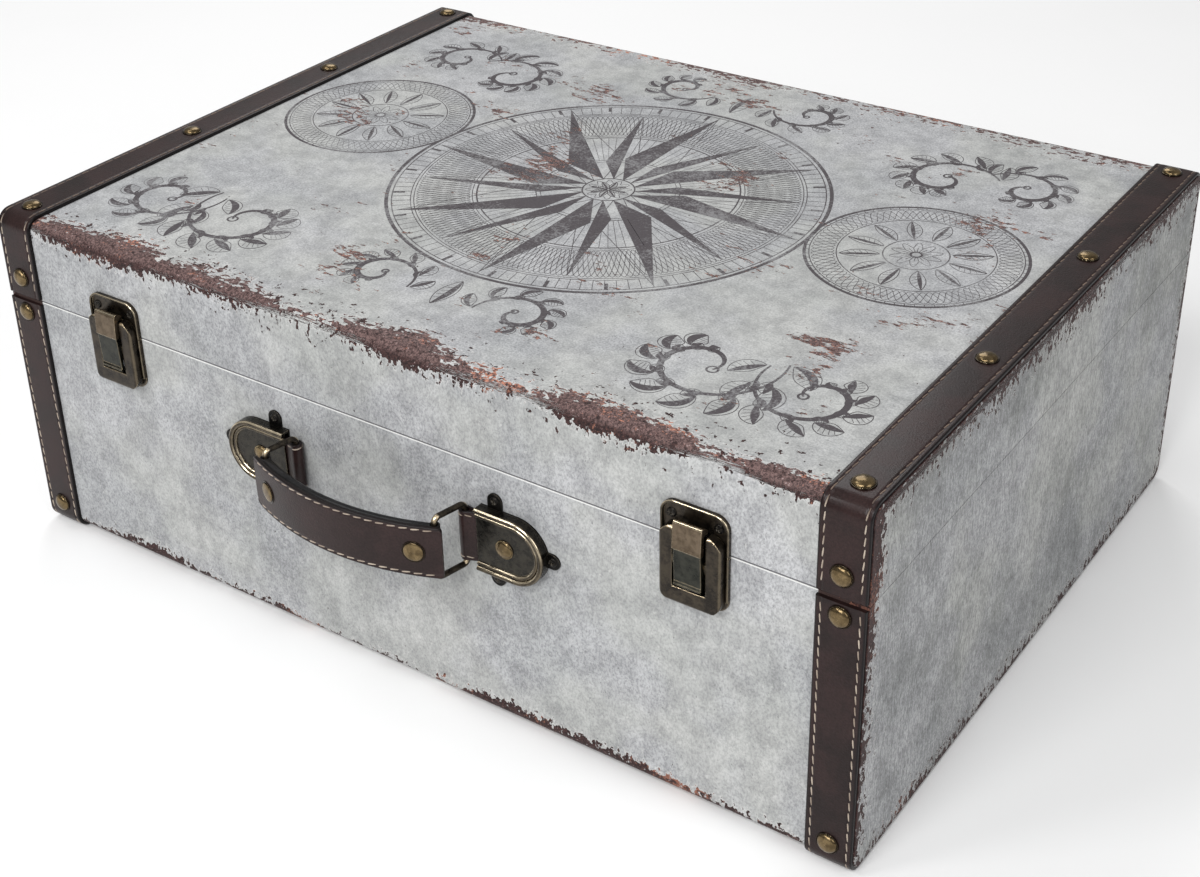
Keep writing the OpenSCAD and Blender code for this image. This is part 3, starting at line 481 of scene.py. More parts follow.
def end_shade(tree, place):
    """Upright streaks * smoky clouds, which darken the two ends."""
    streaks = noise(tree, stretch(tree, place, (1, 1, 0.3)), 0.75, 3.0, 0.7)
    smoke = noise(tree, shifted(tree, place, 0, 35, 84), 0.017, 4.0, 0.6)
    shade = tone(tree, streaks, 0.34, 0.62, colour(206, 205, 205), colour(255, 255, 254))
    return times(tree, shade, tone(tree, smoke, 0.36, 0.6, colour(216, 217, 216), WHITE))


def painted_front_shade(tree, paper, x, y):
    """Painted shade on the front: darker, fading out from 30 to 170 mm right of the middle."""
    front = remap(tree, y, FRONT / MM + 0.1, FRONT / MM + 0.3, 1.0, 0.0)
    dim = calc(tree, "MULTIPLY", front, remap(tree, x, 30.0, 170.0, 1.0, 0.0))
    return blend_colour(tree, dim, paper, times(tree, paper, grey(249)))


# %% [markdown]
# Marks on the covering. A thin light line runs along the seam where the base's cut paper shows, with
# a dark one above it on the lid. Where the paper goes under the straps it is painted dark brown, a
# painted shade for the gap between the straps' ends. Where it is worn off, the ground is mauve on the
# top and maroon on the sides. Scraps and chips could be thin pieces of their own, but paper is so thin
# that only its torn edge shows. So masks choose the colour, and a bump sets the ground a little lower.

# %% Marks and bare ground
def add_marks(tree, paper, hang, wear):
    """Dark flecks, pale smudges, and the pale rim of lifted paper beside the worn edges."""
    paper = blend_colour(tree, calc(tree, "MULTIPLY", wear["Flecks"], 0.6), paper, colour(100, 100, 102))
    smudge = noise(tree, shifted(tree, hang, 30, 60, 20), 0.42, 4.0, 0.7)
    paper = blend_colour(tree, remap(tree, smudge, 0.6, 0.72, 0.0, 0.5), paper, colour(208, 208, 206))
    return blend_colour(tree, calc(tree, "MULTIPLY", wear["Lifted"], 0.55), paper, colour(216, 215, 213))


def add_seam(tree, paper, x, z, end):
    """Cut edges at the seam and a dark brown painted shade under the straps; end is 1 on both ends, which
    have neither.
    """
    wrapped = calc(tree, "SUBTRACT", 1.0, end)
    to_seam = calc(tree, "ABSOLUTE", calc(tree, "SUBTRACT", z, SEAM / MM))
    lip = calc(tree, "MULTIPLY", remap(tree, to_seam, 0.45, 0.75, 1.0, 0.0), wrapped)
    cut = tone(tree, z, SEAM / MM - 0.05, SEAM / MM + 0.05, colour(228, 228, 226), colour(84, 84, 88))
    paper = blend_colour(tree, lip, paper, cut)
    # Painted shade: dark brown beyond the straps' inner edge, where the gap between the straps' ends lies.
    strap = remap(tree, calc(tree, "ABSOLUTE", x), STRAP_IN / MM, STRAP_IN / MM + 0.6)
    return blend_colour(tree, calc(tree, "MULTIPLY", strap, wrapped), paper, colour(66, 50, 47))


def bare_ground(tree, place, wear):
    """Brown ground with scraps of paper left on it, and rust over all."""
    rough = noise(tree, place, 0.9, 4.0, 0.9)
    mauve = tone(tree, rough, 0.42, 0.58, colour(54, 38, 37), colour(120, 96, 93))
    maroon = tone(tree, rough, 0.42, 0.58, colour(30, 17, 17), colour(70, 46, 44))
    ground = blend_colour(tree, wear["Dark"], mauve, maroon)
    scraps = remap(tree, noise(tree, place, 0.9, 3.0, 0.7), 0.66, 0.7, 0.0, 0.8)
    ground = blend_colour(tree, scraps, ground, colour(186, 170, 168))
    return blend_colour(tree, wear["Rust"], ground, colour(190, 128, 104))


# %% Covering material
PAPER_DEEP = 0.18 * MM


def make_covering():
    """Printed paper over the whole box, with the bare ground where it is worn."""
    material, tree, shader = new_material("printed covering")
    place = position_mm(tree)
    x, y, z = split_axes(tree, place)
    wear = use_group(tree, wear_group, Position=place)
    hang = stretch(tree, place, (1, 1, 0.7))
    mottle = noise(tree, hang, 0.11, 6.0, 0.72)
    grain = noise(tree, hang, 1.1, 4.0, 0.75)
    end = remap(tree, calc(tree, "ABSOLUTE", x), HALF_W / MM - 0.3, HALF_W / MM - 0.1)
    paper = plaster_tones(tree, place, mottle, grain)
    paper = blend_colour(tree, end, paper, times(tree, paper, end_shade(tree, place)))
    paper = add_marks(tree, paper, hang, wear)
    paper = painted_front_shade(tree, paper, x, y)
    paper = add_seam(tree, paper, x, z, end)
    body = blend_colour(tree, wear["Ground"], paper, bare_ground(tree, place, wear))
    feed(tree, shader.inputs["Base Color"], body)
    feed(tree, shader.inputs["Roughness"], remap(tree, mottle, 0.3, 0.7, 0.58, 0.74))
    shader.inputs["Specular IOR Level"].default_value = 0.3
    height = calc(tree, "MULTIPLY_ADD", wear["Ground"], -1.0, calc(tree, "MULTIPLY", grain, 0.1))
    feed(tree, shader.inputs["Normal"], bump(tree, height, PAPER_DEEP))
    return material


covering = make_covering()
print("covering:", len(covering.node_tree.nodes), "nodes")

# %% [markdown]
# Leather. The straps and the handle are smooth dark brown leather with a satin gloss, which a thin
# coat over the shader gives. A shared grain group makes fine creased cells, since the grain is too
# small for geometry. The colour shifts a little from place to place, and the cut and folded edges are
# painted nearly black. The distance across the strap, which the edges need, is stored in the piece's
# own UV, so it follows every bend.

# %% Leather materials
GRAIN_DEEP = 0.1 * MM


def make_grain_group():
    """Leather grain: height = 0.5 * creases - 0.6 * distance inside fine cells, and a slow mottling."""
    inputs, outputs = [("Position", V), ("Cell", F)], [("Height", F), ("Mottle", F)]
    tree, given, result = new_group("Leather grain", inputs, outputs)
    cells = add_node(tree, "ShaderNodeTexVoronoi", feature="SMOOTH_F1")
    feed(tree, cells.inputs["Vector"], given["Position"])
    feed(tree, cells.inputs["Scale"], given["Cell"])
    cells.inputs["Smoothness"].default_value = 0.6
    sunk = calc(tree, "MULTIPLY", cells.outputs[0], -0.6)
    creases = noise(tree, given["Position"], 1.6, 4.0, 0.6)
    feed(tree, result["Height"], calc(tree, "MULTIPLY_ADD", creases, 0.5, sunk))
    feed(tree, result["Mottle"], noise(tree, given["Position"], 0.05, 4.0, 0.6))
    return tree


grain_group = make_grain_group()


def make_leather(name, dark, light, edge, half_width, rough):
    """Satin leather; edge is the painted edge's colour, from half_width (in metres) outwards."""
    material, tree, shader = new_material(name)
    place = position_mm(tree)
    grain = use_group(tree, grain_group, Position=place, Cell=1.5)
    body = tone(tree, grain["Mottle"], 0.35, 0.65, dark, light)
    pores = noise(tree, place, 1.1, 3.0, 0.7)
    body = times(tree, body, tone(tree, pores, 0.35, 0.62, colour(218, 214, 214), WHITE))
    if half_width:
        along_across = add_node(tree, "ShaderNodeUVMap", uv_map="along_and_across").outputs[0]
        across = calc(tree, "ABSOLUTE", split_axes(tree, along_across)[1])
        body = tone(tree, across, half_width - 0.9 * MM, half_width - 0.35 * MM, body, edge)
    feed(tree, shader.inputs["Base Color"], body)
    dull = remap(tree, grain["Mottle"], 0.3, 0.7, rough - 0.04, rough + 0.05)
    feed(tree, shader.inputs["Roughness"], dull)
    shader.inputs["Coat Weight"].default_value = 0.16
    shader.inputs["Coat Roughness"].default_value = 0.18
    shader.inputs["Specular IOR Level"].default_value = 0.12
    feed(tree, shader.inputs["Normal"], bump(tree, grain["Height"], GRAIN_DEEP))
    return material


strap_low, strap_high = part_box("lid_right_strap")
STRAP_W = strap_high.x - strap_low.x
STRAP_T = strap_high.z - TOP
brown, painted = (colour(33, 22, 21), colour(48, 32, 31)), colour(18, 14, 15)
strap_leather = make_leather("strap leather", *brown, painted, STRAP_W / 2, 0.36)
print("straps %.0f x %.1f mm" % (STRAP_W / MM, STRAP_T / MM))

# %% [markdown]
# Metals. The latches, mounts and rings are plated like old bronze: nearly black in the hollows, rubbed
# to a warm bright metal on raised edges. Edges could be painted one by one; instead a shared group
# finds them by comparing the surface's normal with one rounded over a small radius. Edges that look
# upwards are painted brightest, a painted highlight as from light above, and rubbed metal is smoother.
# On the latches the rounded shoulders that lean up get a painted highlight too. The rivets are
# lighter aged brass.

# %% Rubbed edges
def make_rub_group():
    """Rubbed edges: 1 where the surface turns sharply within the radius, broken up by a noise."""
    inputs, outputs = [("Position", V), ("Turn", F)], [("Mask", F), ("Patina", F)]
    tree, given, result = new_group("Rubbed edges", inputs, outputs)
    broken = noise(tree, given["Position"], 0.7, 4.0, 0.6)
    edge = remap(tree, given["Turn"], 0.01, 0.09)
    feed(tree, result["Mask"], calc(tree, "MULTIPLY", edge, remap(tree, broken, 0.25, 0.55, 0.35, 1.0)))
    feed(tree, result["Patina"], noise(tree, given["Position"], 0.28, 5.0, 0.65))
    return tree


rub_group = make_rub_group()


def vector_math(tree, operation, first, second):
    """Vector Math node on two vectors; gives its outputs."""
    made = add_node(tree, "ShaderNodeVectorMath", operation=operation)
    feed(tree, made.inputs[0], first)
    feed(tree, made.inputs[1], second)
    return made.outputs


def in_object(tree, vector, kind):
    """World vector or normal in the object's own axes, as three sockets."""
    local = add_node(tree, "ShaderNodeVectorTransform", vector_type=kind)
    local.convert_from, local.convert_to = "WORLD", "OBJECT"
    feed(tree, local.inputs[0], vector)
    return split_axes(tree, local.outputs[0])


def shoulder_highlight(tree, rounded):
    """Painted highlight where the rounded surface looks neither forwards nor sideways, stronger where it
    looks up.
    """
    aim = in_object(tree, rounded, "NORMAL")
    ahead = calc(tree, "ABSOLUTE", aim[1])
    between = calc(tree, "MULTIPLY", remap(tree, ahead, 0.25, 0.5), remap(tree, ahead, 0.8, 0.97, 1.0, 0.0))
    return calc(tree, "MULTIPLY", between, remap(tree, aim[2], 0.0, 0.5, 0.1, 0.8))


def raised_rub(tree, y, patina, raised):
    """Faint rubbing that sets in between two distances off the case's front, in millimetres."""
    off = calc(tree, "SUBTRACT", FRONT / MM, y)
    return calc(tree, "MULTIPLY", remap(tree, off, *raised), remap(tree, patina, 0.3, 0.6, 0.1, 0.3))


# %% Metal maker
def make_metal(name, tones, bright, rough, radius, depth=0.03 * MM,
               groove=None, raised=None, lit_above=None, shoulders=False):
    """Plated metal: tones are the patina's dark and light colours, bright the colour of rubbed edges and
    of painted highlights.

    radius rounds the normal that finds edges, and depth is the patina's relief, both in metres.
    groove is the radius, in metres, from which a turned piece is painted dark: a painted shade round
    its foot. raised holds two distances off the case's front, in millimetres, between which rubbing
    sets in. lit_above holds a height, in millimetres, and the two tones above it, painted lighter as
    painted light on an upper part that faces up. shoulders also paints a highlight on rounded edges
    that lean up."""
    material, tree, shader = new_material(name)
    place = position_mm(tree)
    _, y, z = split_axes(tree, place)
    round_off = add_node(tree, "ShaderNodeBevel", samples=4)
    round_off.inputs["Radius"].default_value = radius
    rounded = round_off.outputs[0]
    true_normal = add_node(tree, "ShaderNodeNewGeometry").outputs["True Normal"]
    alike = vector_math(tree, "DOT_PRODUCT", rounded, true_normal)["Value"]
    rub = use_group(tree, rub_group, Position=place, Turn=calc(tree, "SUBTRACT", 1.0, alike))
    lean = in_object(tree, vector_math(tree, "SUBTRACT", rounded, true_normal)[0], "VECTOR")
    # Edges that look up keep the full mask and others about a fifth: a painted highlight from above.
    rubbed = calc(tree, "MULTIPLY", rub["Mask"], remap(tree, lean[2], 0.0, 0.2, 0.22, 1.0))
    patina = tone(tree, rub["Patina"], 0.35, 0.65, *tones)
    # Above the given height the patina is painted lighter: painted light on the upper part, which faces up.
    if lit_above:
        height, *upper_tones = lit_above
        worn = tone(tree, rub["Patina"], 0.35, 0.65, *upper_tones)
        patina = tone(tree, z, height - 0.1, height + 0.1, patina, worn)
    # Painted highlight on rounded shoulders that lean up.
    if shoulders:
        rubbed = calc(tree, "MAXIMUM", rubbed, shoulder_highlight(tree, rounded))
    if raised:
        rubbed = calc(tree, "MAXIMUM", rubbed, raised_rub(tree, y, rub["Patina"], raised))
    body = blend_colour(tree, rubbed, patina, bright)
    # Painted shade: from the groove radius outwards a turned head is painted dark round its foot.
    if groove:
        turned_uv = add_node(tree, "ShaderNodeUVMap", uv_map="along_and_across").outputs[0]
        from_axis = split_axes(tree, turned_uv)[0]
        body = tone(tree, from_axis, groove, groove + 0.3 * MM, body, colour(40, 32, 24))
    feed(tree, shader.inputs["Base Color"], body)
    shader.inputs["Metallic"].default_value = 0.9
    dull = remap(tree, rub["Patina"], 0.3, 0.7, rough - 0.05, rough + 0.1)
    feed(tree, shader.inputs["Roughness"], calc(tree, "MULTIPLY_ADD", rubbed, -0.12, dull))
    feed(tree, shader.inputs["Normal"], bump(tree, rub["Patina"], depth, rounded))
    return material


# %% Metals
OLD, OLD_BRIGHT = (colour(44, 40, 36), colour(70, 63, 54)), colour(226, 206, 172)
BROWN, BROWN_BRIGHT = (colour(40, 41, 37), colour(60, 60, 54)), colour(232, 212, 176)
BEAD, BEAD_BRIGHT = (colour(50, 45, 38), colour(84, 75, 62)), colour(238, 222, 192)
ROLL, ROLL_BRIGHT = (colour(42, 40, 37), colour(60, 57, 51)), colour(214, 198, 168)
BLACK, BLACK_BRIGHT = (colour(16, 15, 15), colour(38, 36, 34)), colour(104, 97, 86)
AGED, AGED_BRIGHT = (colour(112, 92, 52), colour(160, 134, 84)), colour(214, 188, 132)
SPRING, SPRING_BRIGHT = (colour(120, 120, 122), colour(160, 160, 162)), grey(200)
# Tongue tones above the seam: painted lighter, as painted light on its upward-facing upper part.
UPPER_LIT_TONES = (SEAM / MM - 0.1, colour(84, 72, 58), colour(112, 98, 82))
bronze = make_metal("dark bronze", OLD, OLD_BRIGHT, 0.3, 0.6 * MM, shoulders=True)
lipped = make_metal("brown bronze", BROWN, BROWN_BRIGHT, 0.3, 0.6 * MM, lit_above=UPPER_LIT_TONES)
rimmed = make_metal("dark bronze rims", OLD, OLD_BRIGHT, 0.3, 0.8 * MM)
# The beads' brightness is mostly a painted highlight on their upper sides.
beaded = make_metal("bronze beads with painted highlights", BEAD, BEAD_BRIGHT, 0.22, 0.1 * MM, shoulders=True)
rolled = make_metal("dark bronze rolls", ROLL, ROLL_BRIGHT, 0.26, 0.5 * MM, raised=(4.9, 5.3))
blackened = make_metal("blackened bronze", BLACK, BLACK_BRIGHT, 0.34, 0.4 * MM)
brass = make_metal("aged brass", AGED, AGED_BRIGHT, 0.3, 0.3 * MM, depth=0.01 * MM)
steel = make_metal("spring steel", SPRING, SPRING_BRIGHT, 0.3, 0.1 * MM)
metals = (bronze, lipped, rimmed, beaded, rolled, blackened, brass, steel)
print("metals:", ", ".join(metal.name for metal in metals))

# %% [markdown]
# Inside. The boards are pressed brown fibre, and the lining is a plain paper with faint fibres. Both
# show only when the case stands open, so two noises drawn out along different ways are enough; single
# fibres as hair would cost far more.

# %% Board and lining materials
def make_fibre(name, dark, light, scale, rough, depth):
    """Matt fibrous stuff: two stretched noises laid across each other."""
    material, tree, shader = new_material(name)
    place = position_mm(tree)
    long_way = noise(tree, stretch(tree, place, (0.15, 1, 1)), scale, 4.0, 0.65)
    cross_way = noise(tree, stretch(tree, place, (1, 0.15, 1)), scale, 4.0, 0.65)
    fibres = calc(tree, "MAXIMUM", long_way, cross_way)
    feed(tree, shader.inputs["Base Color"], tone(tree, fibres, 0.42, 0.68, dark, light))
    feed(tree, shader.inputs["Roughness"], remap(tree, fibres, 0.3, 0.7, rough - 0.05, rough + 0.05))
    shader.inputs["Specular IOR Level"].default_value = 0.25
    feed(tree, shader.inputs["Normal"], bump(tree, fibres, depth))
    return material


board = make_fibre("fibreboard", colour(112, 84, 60), colour(164, 132, 98), 0.8, 0.85, 0.12 * MM)
lining = make_fibre("paper lining", colour(200, 192, 174), colour(216, 209, 194), 0.5, 0.8, 0.06 * MM)
print("inside:", board.name, "and", lining.name)

# %% [markdown]
# Dressing the frame. The construction's own pieces stay as they are, and only get their finish. It
# could be given one by one, but their names say what they are made of, so one word chooses a family.

# %% Dress the frame's own nodes
def dress(material, *words):
    """Gives a material to every node whose name holds one of the words, and counts them."""
    chosen = [n for n in frame["nodes"] if any(w in n for w in words)]
    for name in chosen:
        slots = frame["nodes"][name].data.materials
        slots.clear()
        slots.append(material)
    return len(chosen)


counts = {
    "board": dress(board, "board", "_end", "base_floor"),
    "lining": dress(lining, "lining"),
    "covering": dress(covering, "covering"),
    "leather": dress(strap_leather, "strap", "loop", "grip_leather", "grip_core"),
    "bronze": dress(bronze, "left_cover", "right_cover", "left_ring", "right_ring", "hinge"),
    "brown bronze": dress(lipped, "tongue"),
    "rimmed bronze": dress(rimmed, "keeper", "latch_plate"),
    "rolled bronze": dress(rolled, "mount_cap"),
    "black bronze": dress(blackened, "mount_plate", "screws"),
    "brass": dress(brass, "rivets", "cover_pin", "tongue_pin"),
    "steel": dress(steel, "spring"),
}
print(counts)

# %% [markdown]
# Straps. Each strap is one leather band that runs round the case and stops short of the seam.
# It could be a bent plane with a thickness, but a swept profile gives more: a slightly crowned face,
# rounded edges that catch the light, and two shallow furrows where the thread pulls the leather in.
# The path is the covering's own outline with its round corners.

# %% Path with round corners
def rounded_path(corners, radius, step, hand):
    """Path through corners in the Y-Z plane, each inner corner turned by an arc; and its outward normals.

    Straight runs go corner to corner less the radius, arcs turn at a steady angle about their centre.
    hand is 1 for normals on the left of the way along the path and -1 for normals on its right."""
    corners = [np.array(c, float) for c in corners]
    places, tangents = [], []
    start = corners[0]
    for k in range(1, len(corners)):
        leg = corners[k] - corners[k - 1]
        forward = leg / np.linalg.norm(leg)
        last = k == len(corners) - 1
        end = corners[k] if last else corners[k] - forward * radius
        count = max(2, int(np.linalg.norm(end - start) / step))
        share = np.linspace(0, 1, count, endpoint=last)[:, None]
        places.append(start + (end - start) * share)
        tangents.append(np.repeat(forward[None], count, 0))
        if not last:
            onward = corners[k + 1] - corners[k]
            onward /= np.linalg.norm(onward)
            angle = np.linspace(0, np.pi / 2, 12, endpoint=False)[:, None]
            centre = end + onward * radius
            places.append(centre - onward * radius * np.cos(angle) + forward * radius * np.sin(angle))
            tangents.append(forward * np.cos(angle) + onward * np.sin(angle))
            start = corners[k] + onward * radius
    flat, along = np.concatenate(places), np.concatenate(tangents)
    normal = np.stack([-along[:, 1], along[:, 0]], 1) * hand
    zero = np.zeros(len(flat))[:, None]
    return np.hstack([zero, flat]), np.hstack([zero, normal])


# %% Profile of a leather band
STITCH_IN = 2.2 * MM
CROWN, FURROW = 0.12 * MM, 0.22 * MM


def band_profile(width, thick, edge=0.6 * MM, seam_in=STITCH_IN):
    """Closed outline of a leather band: flat underneath, quarter-round edges, crowned top with furrows.

    Height = thickness - crown * (2a / width)^2 - furrow * exp(-((|a| - stitch line) / 0.45 mm)^2)."""
    line = width / 2 - seam_in
    a = np.linspace(-width / 2 + edge, width / 2 - edge, 61)
    top = thick - CROWN * (2 * a / width) ** 2
    top -= FURROW * np.exp(-(((np.abs(a) - line) / (0.45 * MM)) ** 2))
    turn = np.linspace(0, np.pi / 2, 6)[1:]
    round_a = width / 2 - edge + edge * np.sin(turn)
    round_h = top[-1] - edge + edge * np.cos(turn)
    right = np.stack([round_a, round_h], 1)
    left = np.stack([-round_a[::-1], round_h[::-1]], 1)
    bottom = np.array([[width / 2, 0], [-width / 2, 0]])
    return np.concatenate([np.stack([a, top], 1), right, bottom, left])


# %% Strap paths
ACROSS = np.array([1.0, 0, 0])
base_strap_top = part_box("base_right_strap")[1].z
lid_strap_end = strap_low.z
lid_path, lid_out = rounded_path(
    [(FRONT, lid_strap_end), (FRONT, TOP), (BACK, TOP), (BACK, lid_strap_end)], EDGE_R, 2.5 * MM, 1)
base_path, base_out = rounded_path(
    [(FRONT, base_strap_top), (FRONT, FLOOR), (BACK, FLOOR), (BACK, base_strap_top)], EDGE_R, 2.5 * MM, -1)
strap_profile = band_profile(STRAP_W, STRAP_T)

# %% Straps
straps = {}
for side in ("left", "right"):
    for half, path, out in (("base", base_path, base_out), ("lid", lid_path, lid_out)):
        node = f"{half}_{side}_strap"
        low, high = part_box(node)
        middle = np.array([(low.x + high.x) / 2, 0, 0])
        band = swept(f"{node}_leather", path + middle, out, ACROSS, strap_profile, strap_leather)
        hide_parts(node)
        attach(band, half)
        straps[node] = (path + middle, out)
print(len(straps), "straps,", len(lid_path), "rows each on the lid")

# %% [markdown]
# Stitches. The thread shows as a row of short slanted dashes, about five millimetres apart, and on the
# lid's top it is soiled brown. A bump in the leather could stand for it, but real thread stands proud
# and casts small shadows. Each stitch is a small bent capsule that dives into the leather at both
# ends. One template is placed at every step along the path by whole-array sums, so a row of a hundred
# stitches costs one line.

# %% Thread material
def make_thread():
    """Waxed thread, twisted, pale on the sides and soiled on the lid's top."""
    material, tree, shader = new_material("waxed thread")
    place = position_mm(tree)
    twist = add_node(tree, "ShaderNodeTexWave", wave_type="BANDS", bands_direction="DIAGONAL")
    feed(tree, twist.inputs["Vector"], place)
    twist.inputs["Scale"].default_value = 0.9
    age = noise(tree, place, 0.12, 3.0, 0.6)
    clean = tone(tree, age, 0.3, 0.7, colour(140, 124, 110), colour(192, 178, 162))
    soiled = tone(tree, age, 0.3, 0.7, colour(84, 70, 62), colour(126, 108, 94))
    height = split_axes(tree, place)[2]
    feed(tree, shader.inputs["Base Color"], tone(tree, height, TOP / MM - 3, TOP / MM, clean, soiled))
    feed(tree, shader.inputs["Roughness"], remap(tree, age, 0.3, 0.7, 0.6, 0.75))
    feed(tree, shader.inputs["Normal"], bump(tree, twist.outputs["Fac"], 0.08 * MM))
    return material


thread = make_thread()
print("thread:", len(thread.node_tree.nodes), "nodes")


# %% Stitch helpers
def stitch_points(path, out, side, across, height, pitch, length, width, trim):
    """Stitches at even steps along a path, as (stitch, row, column, xyz).

    A stitch is a capsule: along it s goes from -1 to 1, its radius falls as sqrt(1 - s^4) and its
    middle line sinks by s^4, and it is slanted a little. The path's ends stay bare over the trim."""
    distance = travelled(path)
    count = int((distance[-1] - 2 * trim) / pitch)
    at = trim + (distance[-1] - 2 * trim - count * pitch) / 2 + pitch * (np.arange(count) + 0.5)

    def along(values, where):
        return np.stack([np.interp(where, distance, values[:, k]) for k in range(3)], -1)

    s = np.linspace(-1, 1, 7)
    where = at[:, None] + s * length / 2
    centre, normal = along(path, where), along(out, where)
    slant = across + s * width * 0.45
    centre = centre + side * slant[None, :, None] + normal * (height - width * 0.35 * s**4)[None, :, None]
    angle = np.linspace(0, 2 * np.pi, 6, endpoint=False)
    radius = width / 2 * np.sqrt(np.clip(1 - s**4, 0.02, 1))
    aside, upwards = radius[:, None] * np.cos(angle), radius[:, None] * 0.75 * np.sin(angle)
    return centre[:, :, None] + side * aside[None, ..., None] + normal[:, :, None] * upwards[None, ..., None]


def seam_pair(path, out, side, line, sizes):
    """The two rows of stitches of a band, at the same distance from its middle on either side."""
    return [stitch_points(path, out, side, hand * line, **sizes) for hand in (-1, 1)]


def sew(name, rows, body):
    """One piece of thread from several rows of stitches, every stitch closed at both ends."""
    points = np.concatenate(rows)
    count, along, around = points.shape[:3]
    one = grid_quads(along, around).tolist()
    one += [list(range(around)), list(range((along - 1) * around, along * around))[::-1]]
    faces = [[v + k * along * around for v in face] for k in range(count) for face in one]
    piece = make_piece(name, points.reshape(-1, 3), faces, thread)
    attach(piece, body)
    return count


# %% Strap stitches
STRAP_THREAD = {"height": STRAP_T - 0.24 * MM, "pitch": 5.0 * MM, "length": 4.75 * MM, "width": 0.62 * MM,
                "trim": 1.2 * MM}
sewn = {}
for node, (path, out) in straps.items():
    rows = seam_pair(path, out, ACROSS, STRAP_W / 2 - STITCH_IN, STRAP_THREAD)
    sewn[node] = sew(f"{node}_stitches", rows, node.split("_")[0])
print(sewn)

# %% [markdown]
# Rivets and screws. Their places are read from the frame: each node's mesh falls apart into its
# separate solids, and every solid's box tells where its head sits. Half a ball would be too high and
# has no foot, so rivets are turned as on a lathe: a profile of (radius, height) goes round an axis.
# Two steps round the foot make a ring where the pressed head meets the leather. Their material
# paints that ring dark by the radius kept in the UV, a painted shade where head and leather meet.

# %% Separate solids of a node
def solids(node):
    """Low and high corners of each separate solid: points that coincide are one, edges join points."""
    piece = frame["nodes"][node]
    flat = np.empty(len(piece.data.vertices) * 3)
    piece.data.vertices.foreach_get("co", flat)
    placed = np.array(piece.matrix_world)
    points = flat.reshape(-1, 3) @ placed[:3, :3].T + placed[:3, 3]
    joined = np.unique(np.round(points / (0.002 * MM)), axis=0, return_inverse=True)[1].reshape(-1)
    edges = np.empty(len(piece.data.edges) * 2, int)
    piece.data.edges.foreach_get("vertices", edges)
    edges = joined[edges.reshape(-1, 2)]
    label = np.arange(joined.max() + 1)
    while True:
        before = label.copy()
        low = np.minimum(label[edges[:, 0]], label[edges[:, 1]])
        np.minimum.at(label, edges[:, 0], low)
        np.minimum.at(label, edges[:, 1], low)
        if (before == label).all():
            break
    mine = label[joined]
    return [(points[mine == k].min(0), points[mine == k].max(0)) for k in np.unique(mine)]


# %% Lathe helper
def turned(name, seats, profile, material, steps=36, recess=None):
    """Profile rows (radius, height) turned round each seat: centre + out * h + r * (cos side + sin up).

    seats are rows of (centre, out, side). recess(r, angle) may lower the heights. UV is (radius, angle)."""
    angle = np.linspace(0, 2 * np.pi, steps, endpoint=False)
    r, h = profile[:, :1], np.repeat(profile[:, 1:], steps, 1)
    if recess is not None:
        h = h - recess(r, angle[None])
    points, faces, uv = [], [], []
    rings = len(profile)
    for k, (centre, out, side) in enumerate(seats):
        up = np.cross(out, side)
        spread = r[..., None] * (np.cos(angle)[None, :, None] * side + np.sin(angle)[None, :, None] * up)
        points.append((centre + spread + h[..., None] * out).reshape(-1, 3))
        first = k * rings * steps
        faces += grid_quads(rings, steps, first).tolist()
        faces.append(list(range(first, first + steps)))
        faces.append(list(range(first + (rings - 1) * steps, first + rings * steps))[::-1])
        uv.append(np.stack([np.repeat(r, steps, 1), np.repeat(angle[None], rings, 0)], -1).reshape(-1, 2))
    return make_piece(name, np.concatenate(points), faces, material, np.concatenate(uv), sharp=38)


def unit(*numbers):
    """Vector of length one."""
    vector = np.array(numbers, float)
    return vector / np.linalg.norm(vector)


OUTWARD = {"front": unit(0, -1, 0), "back": unit(0, 1, 0), "top": unit(0, 0, 1)}


def seats_on(node, head_height, turn=0.0):
    """Seats of all heads in a node: the head's outermost point, less its height, on its own face.

    Each head is swung by turn more than the one before. The side is square to out, from a direction
    that is nearly X but lies along no face's outward one."""
    seats = []
    for k, (low, high) in enumerate(solids(node)):
        middle = (low + high) / 2
        gaps = {"front": low[1] - FRONT, "back": BACK - high[1], "top": TOP - high[2]}
        face = min(gaps, key=gaps.get)
        out = OUTWARD[face]
        tip = low if face == "front" else high
        centre = middle * (1 - np.abs(out)) + tip * np.abs(out) - out * head_height
        side = np.cross(out, unit(1, 0.001, 0.001))
        side /= np.linalg.norm(side)
        swing = turn * k
        seats.append((centre, out, side * math.cos(swing) + np.cross(out, side) * math.sin(swing)))
    return seats


# %% Strap rivets
def dome(radius, height, foot, count=9):
    """Lathe profile of a domed head: a foot ring, a groove inside it, and a dome from the groove.

    Over the dome h = foot + (height - foot) * sqrt(1 - s^2.4), where s is the share of its radius."""
    rim = np.array([[radius, 0], [radius, 0.7 * foot], [0.975 * radius, foot], [0.93 * radius, 1.02 * foot],
                    [0.9 * radius, 0.8 * foot], [0.87 * radius, 0.75 * foot]])
    inner = rim[-1, 0]
    share = np.sin(np.linspace(np.pi / 2, 0.06, count))
    rise = foot + (height - foot) * np.sqrt(np.clip(1 - share**2.4, 0, 1))
    return np.concatenate([rim, np.stack([inner * share, rise], 1)])


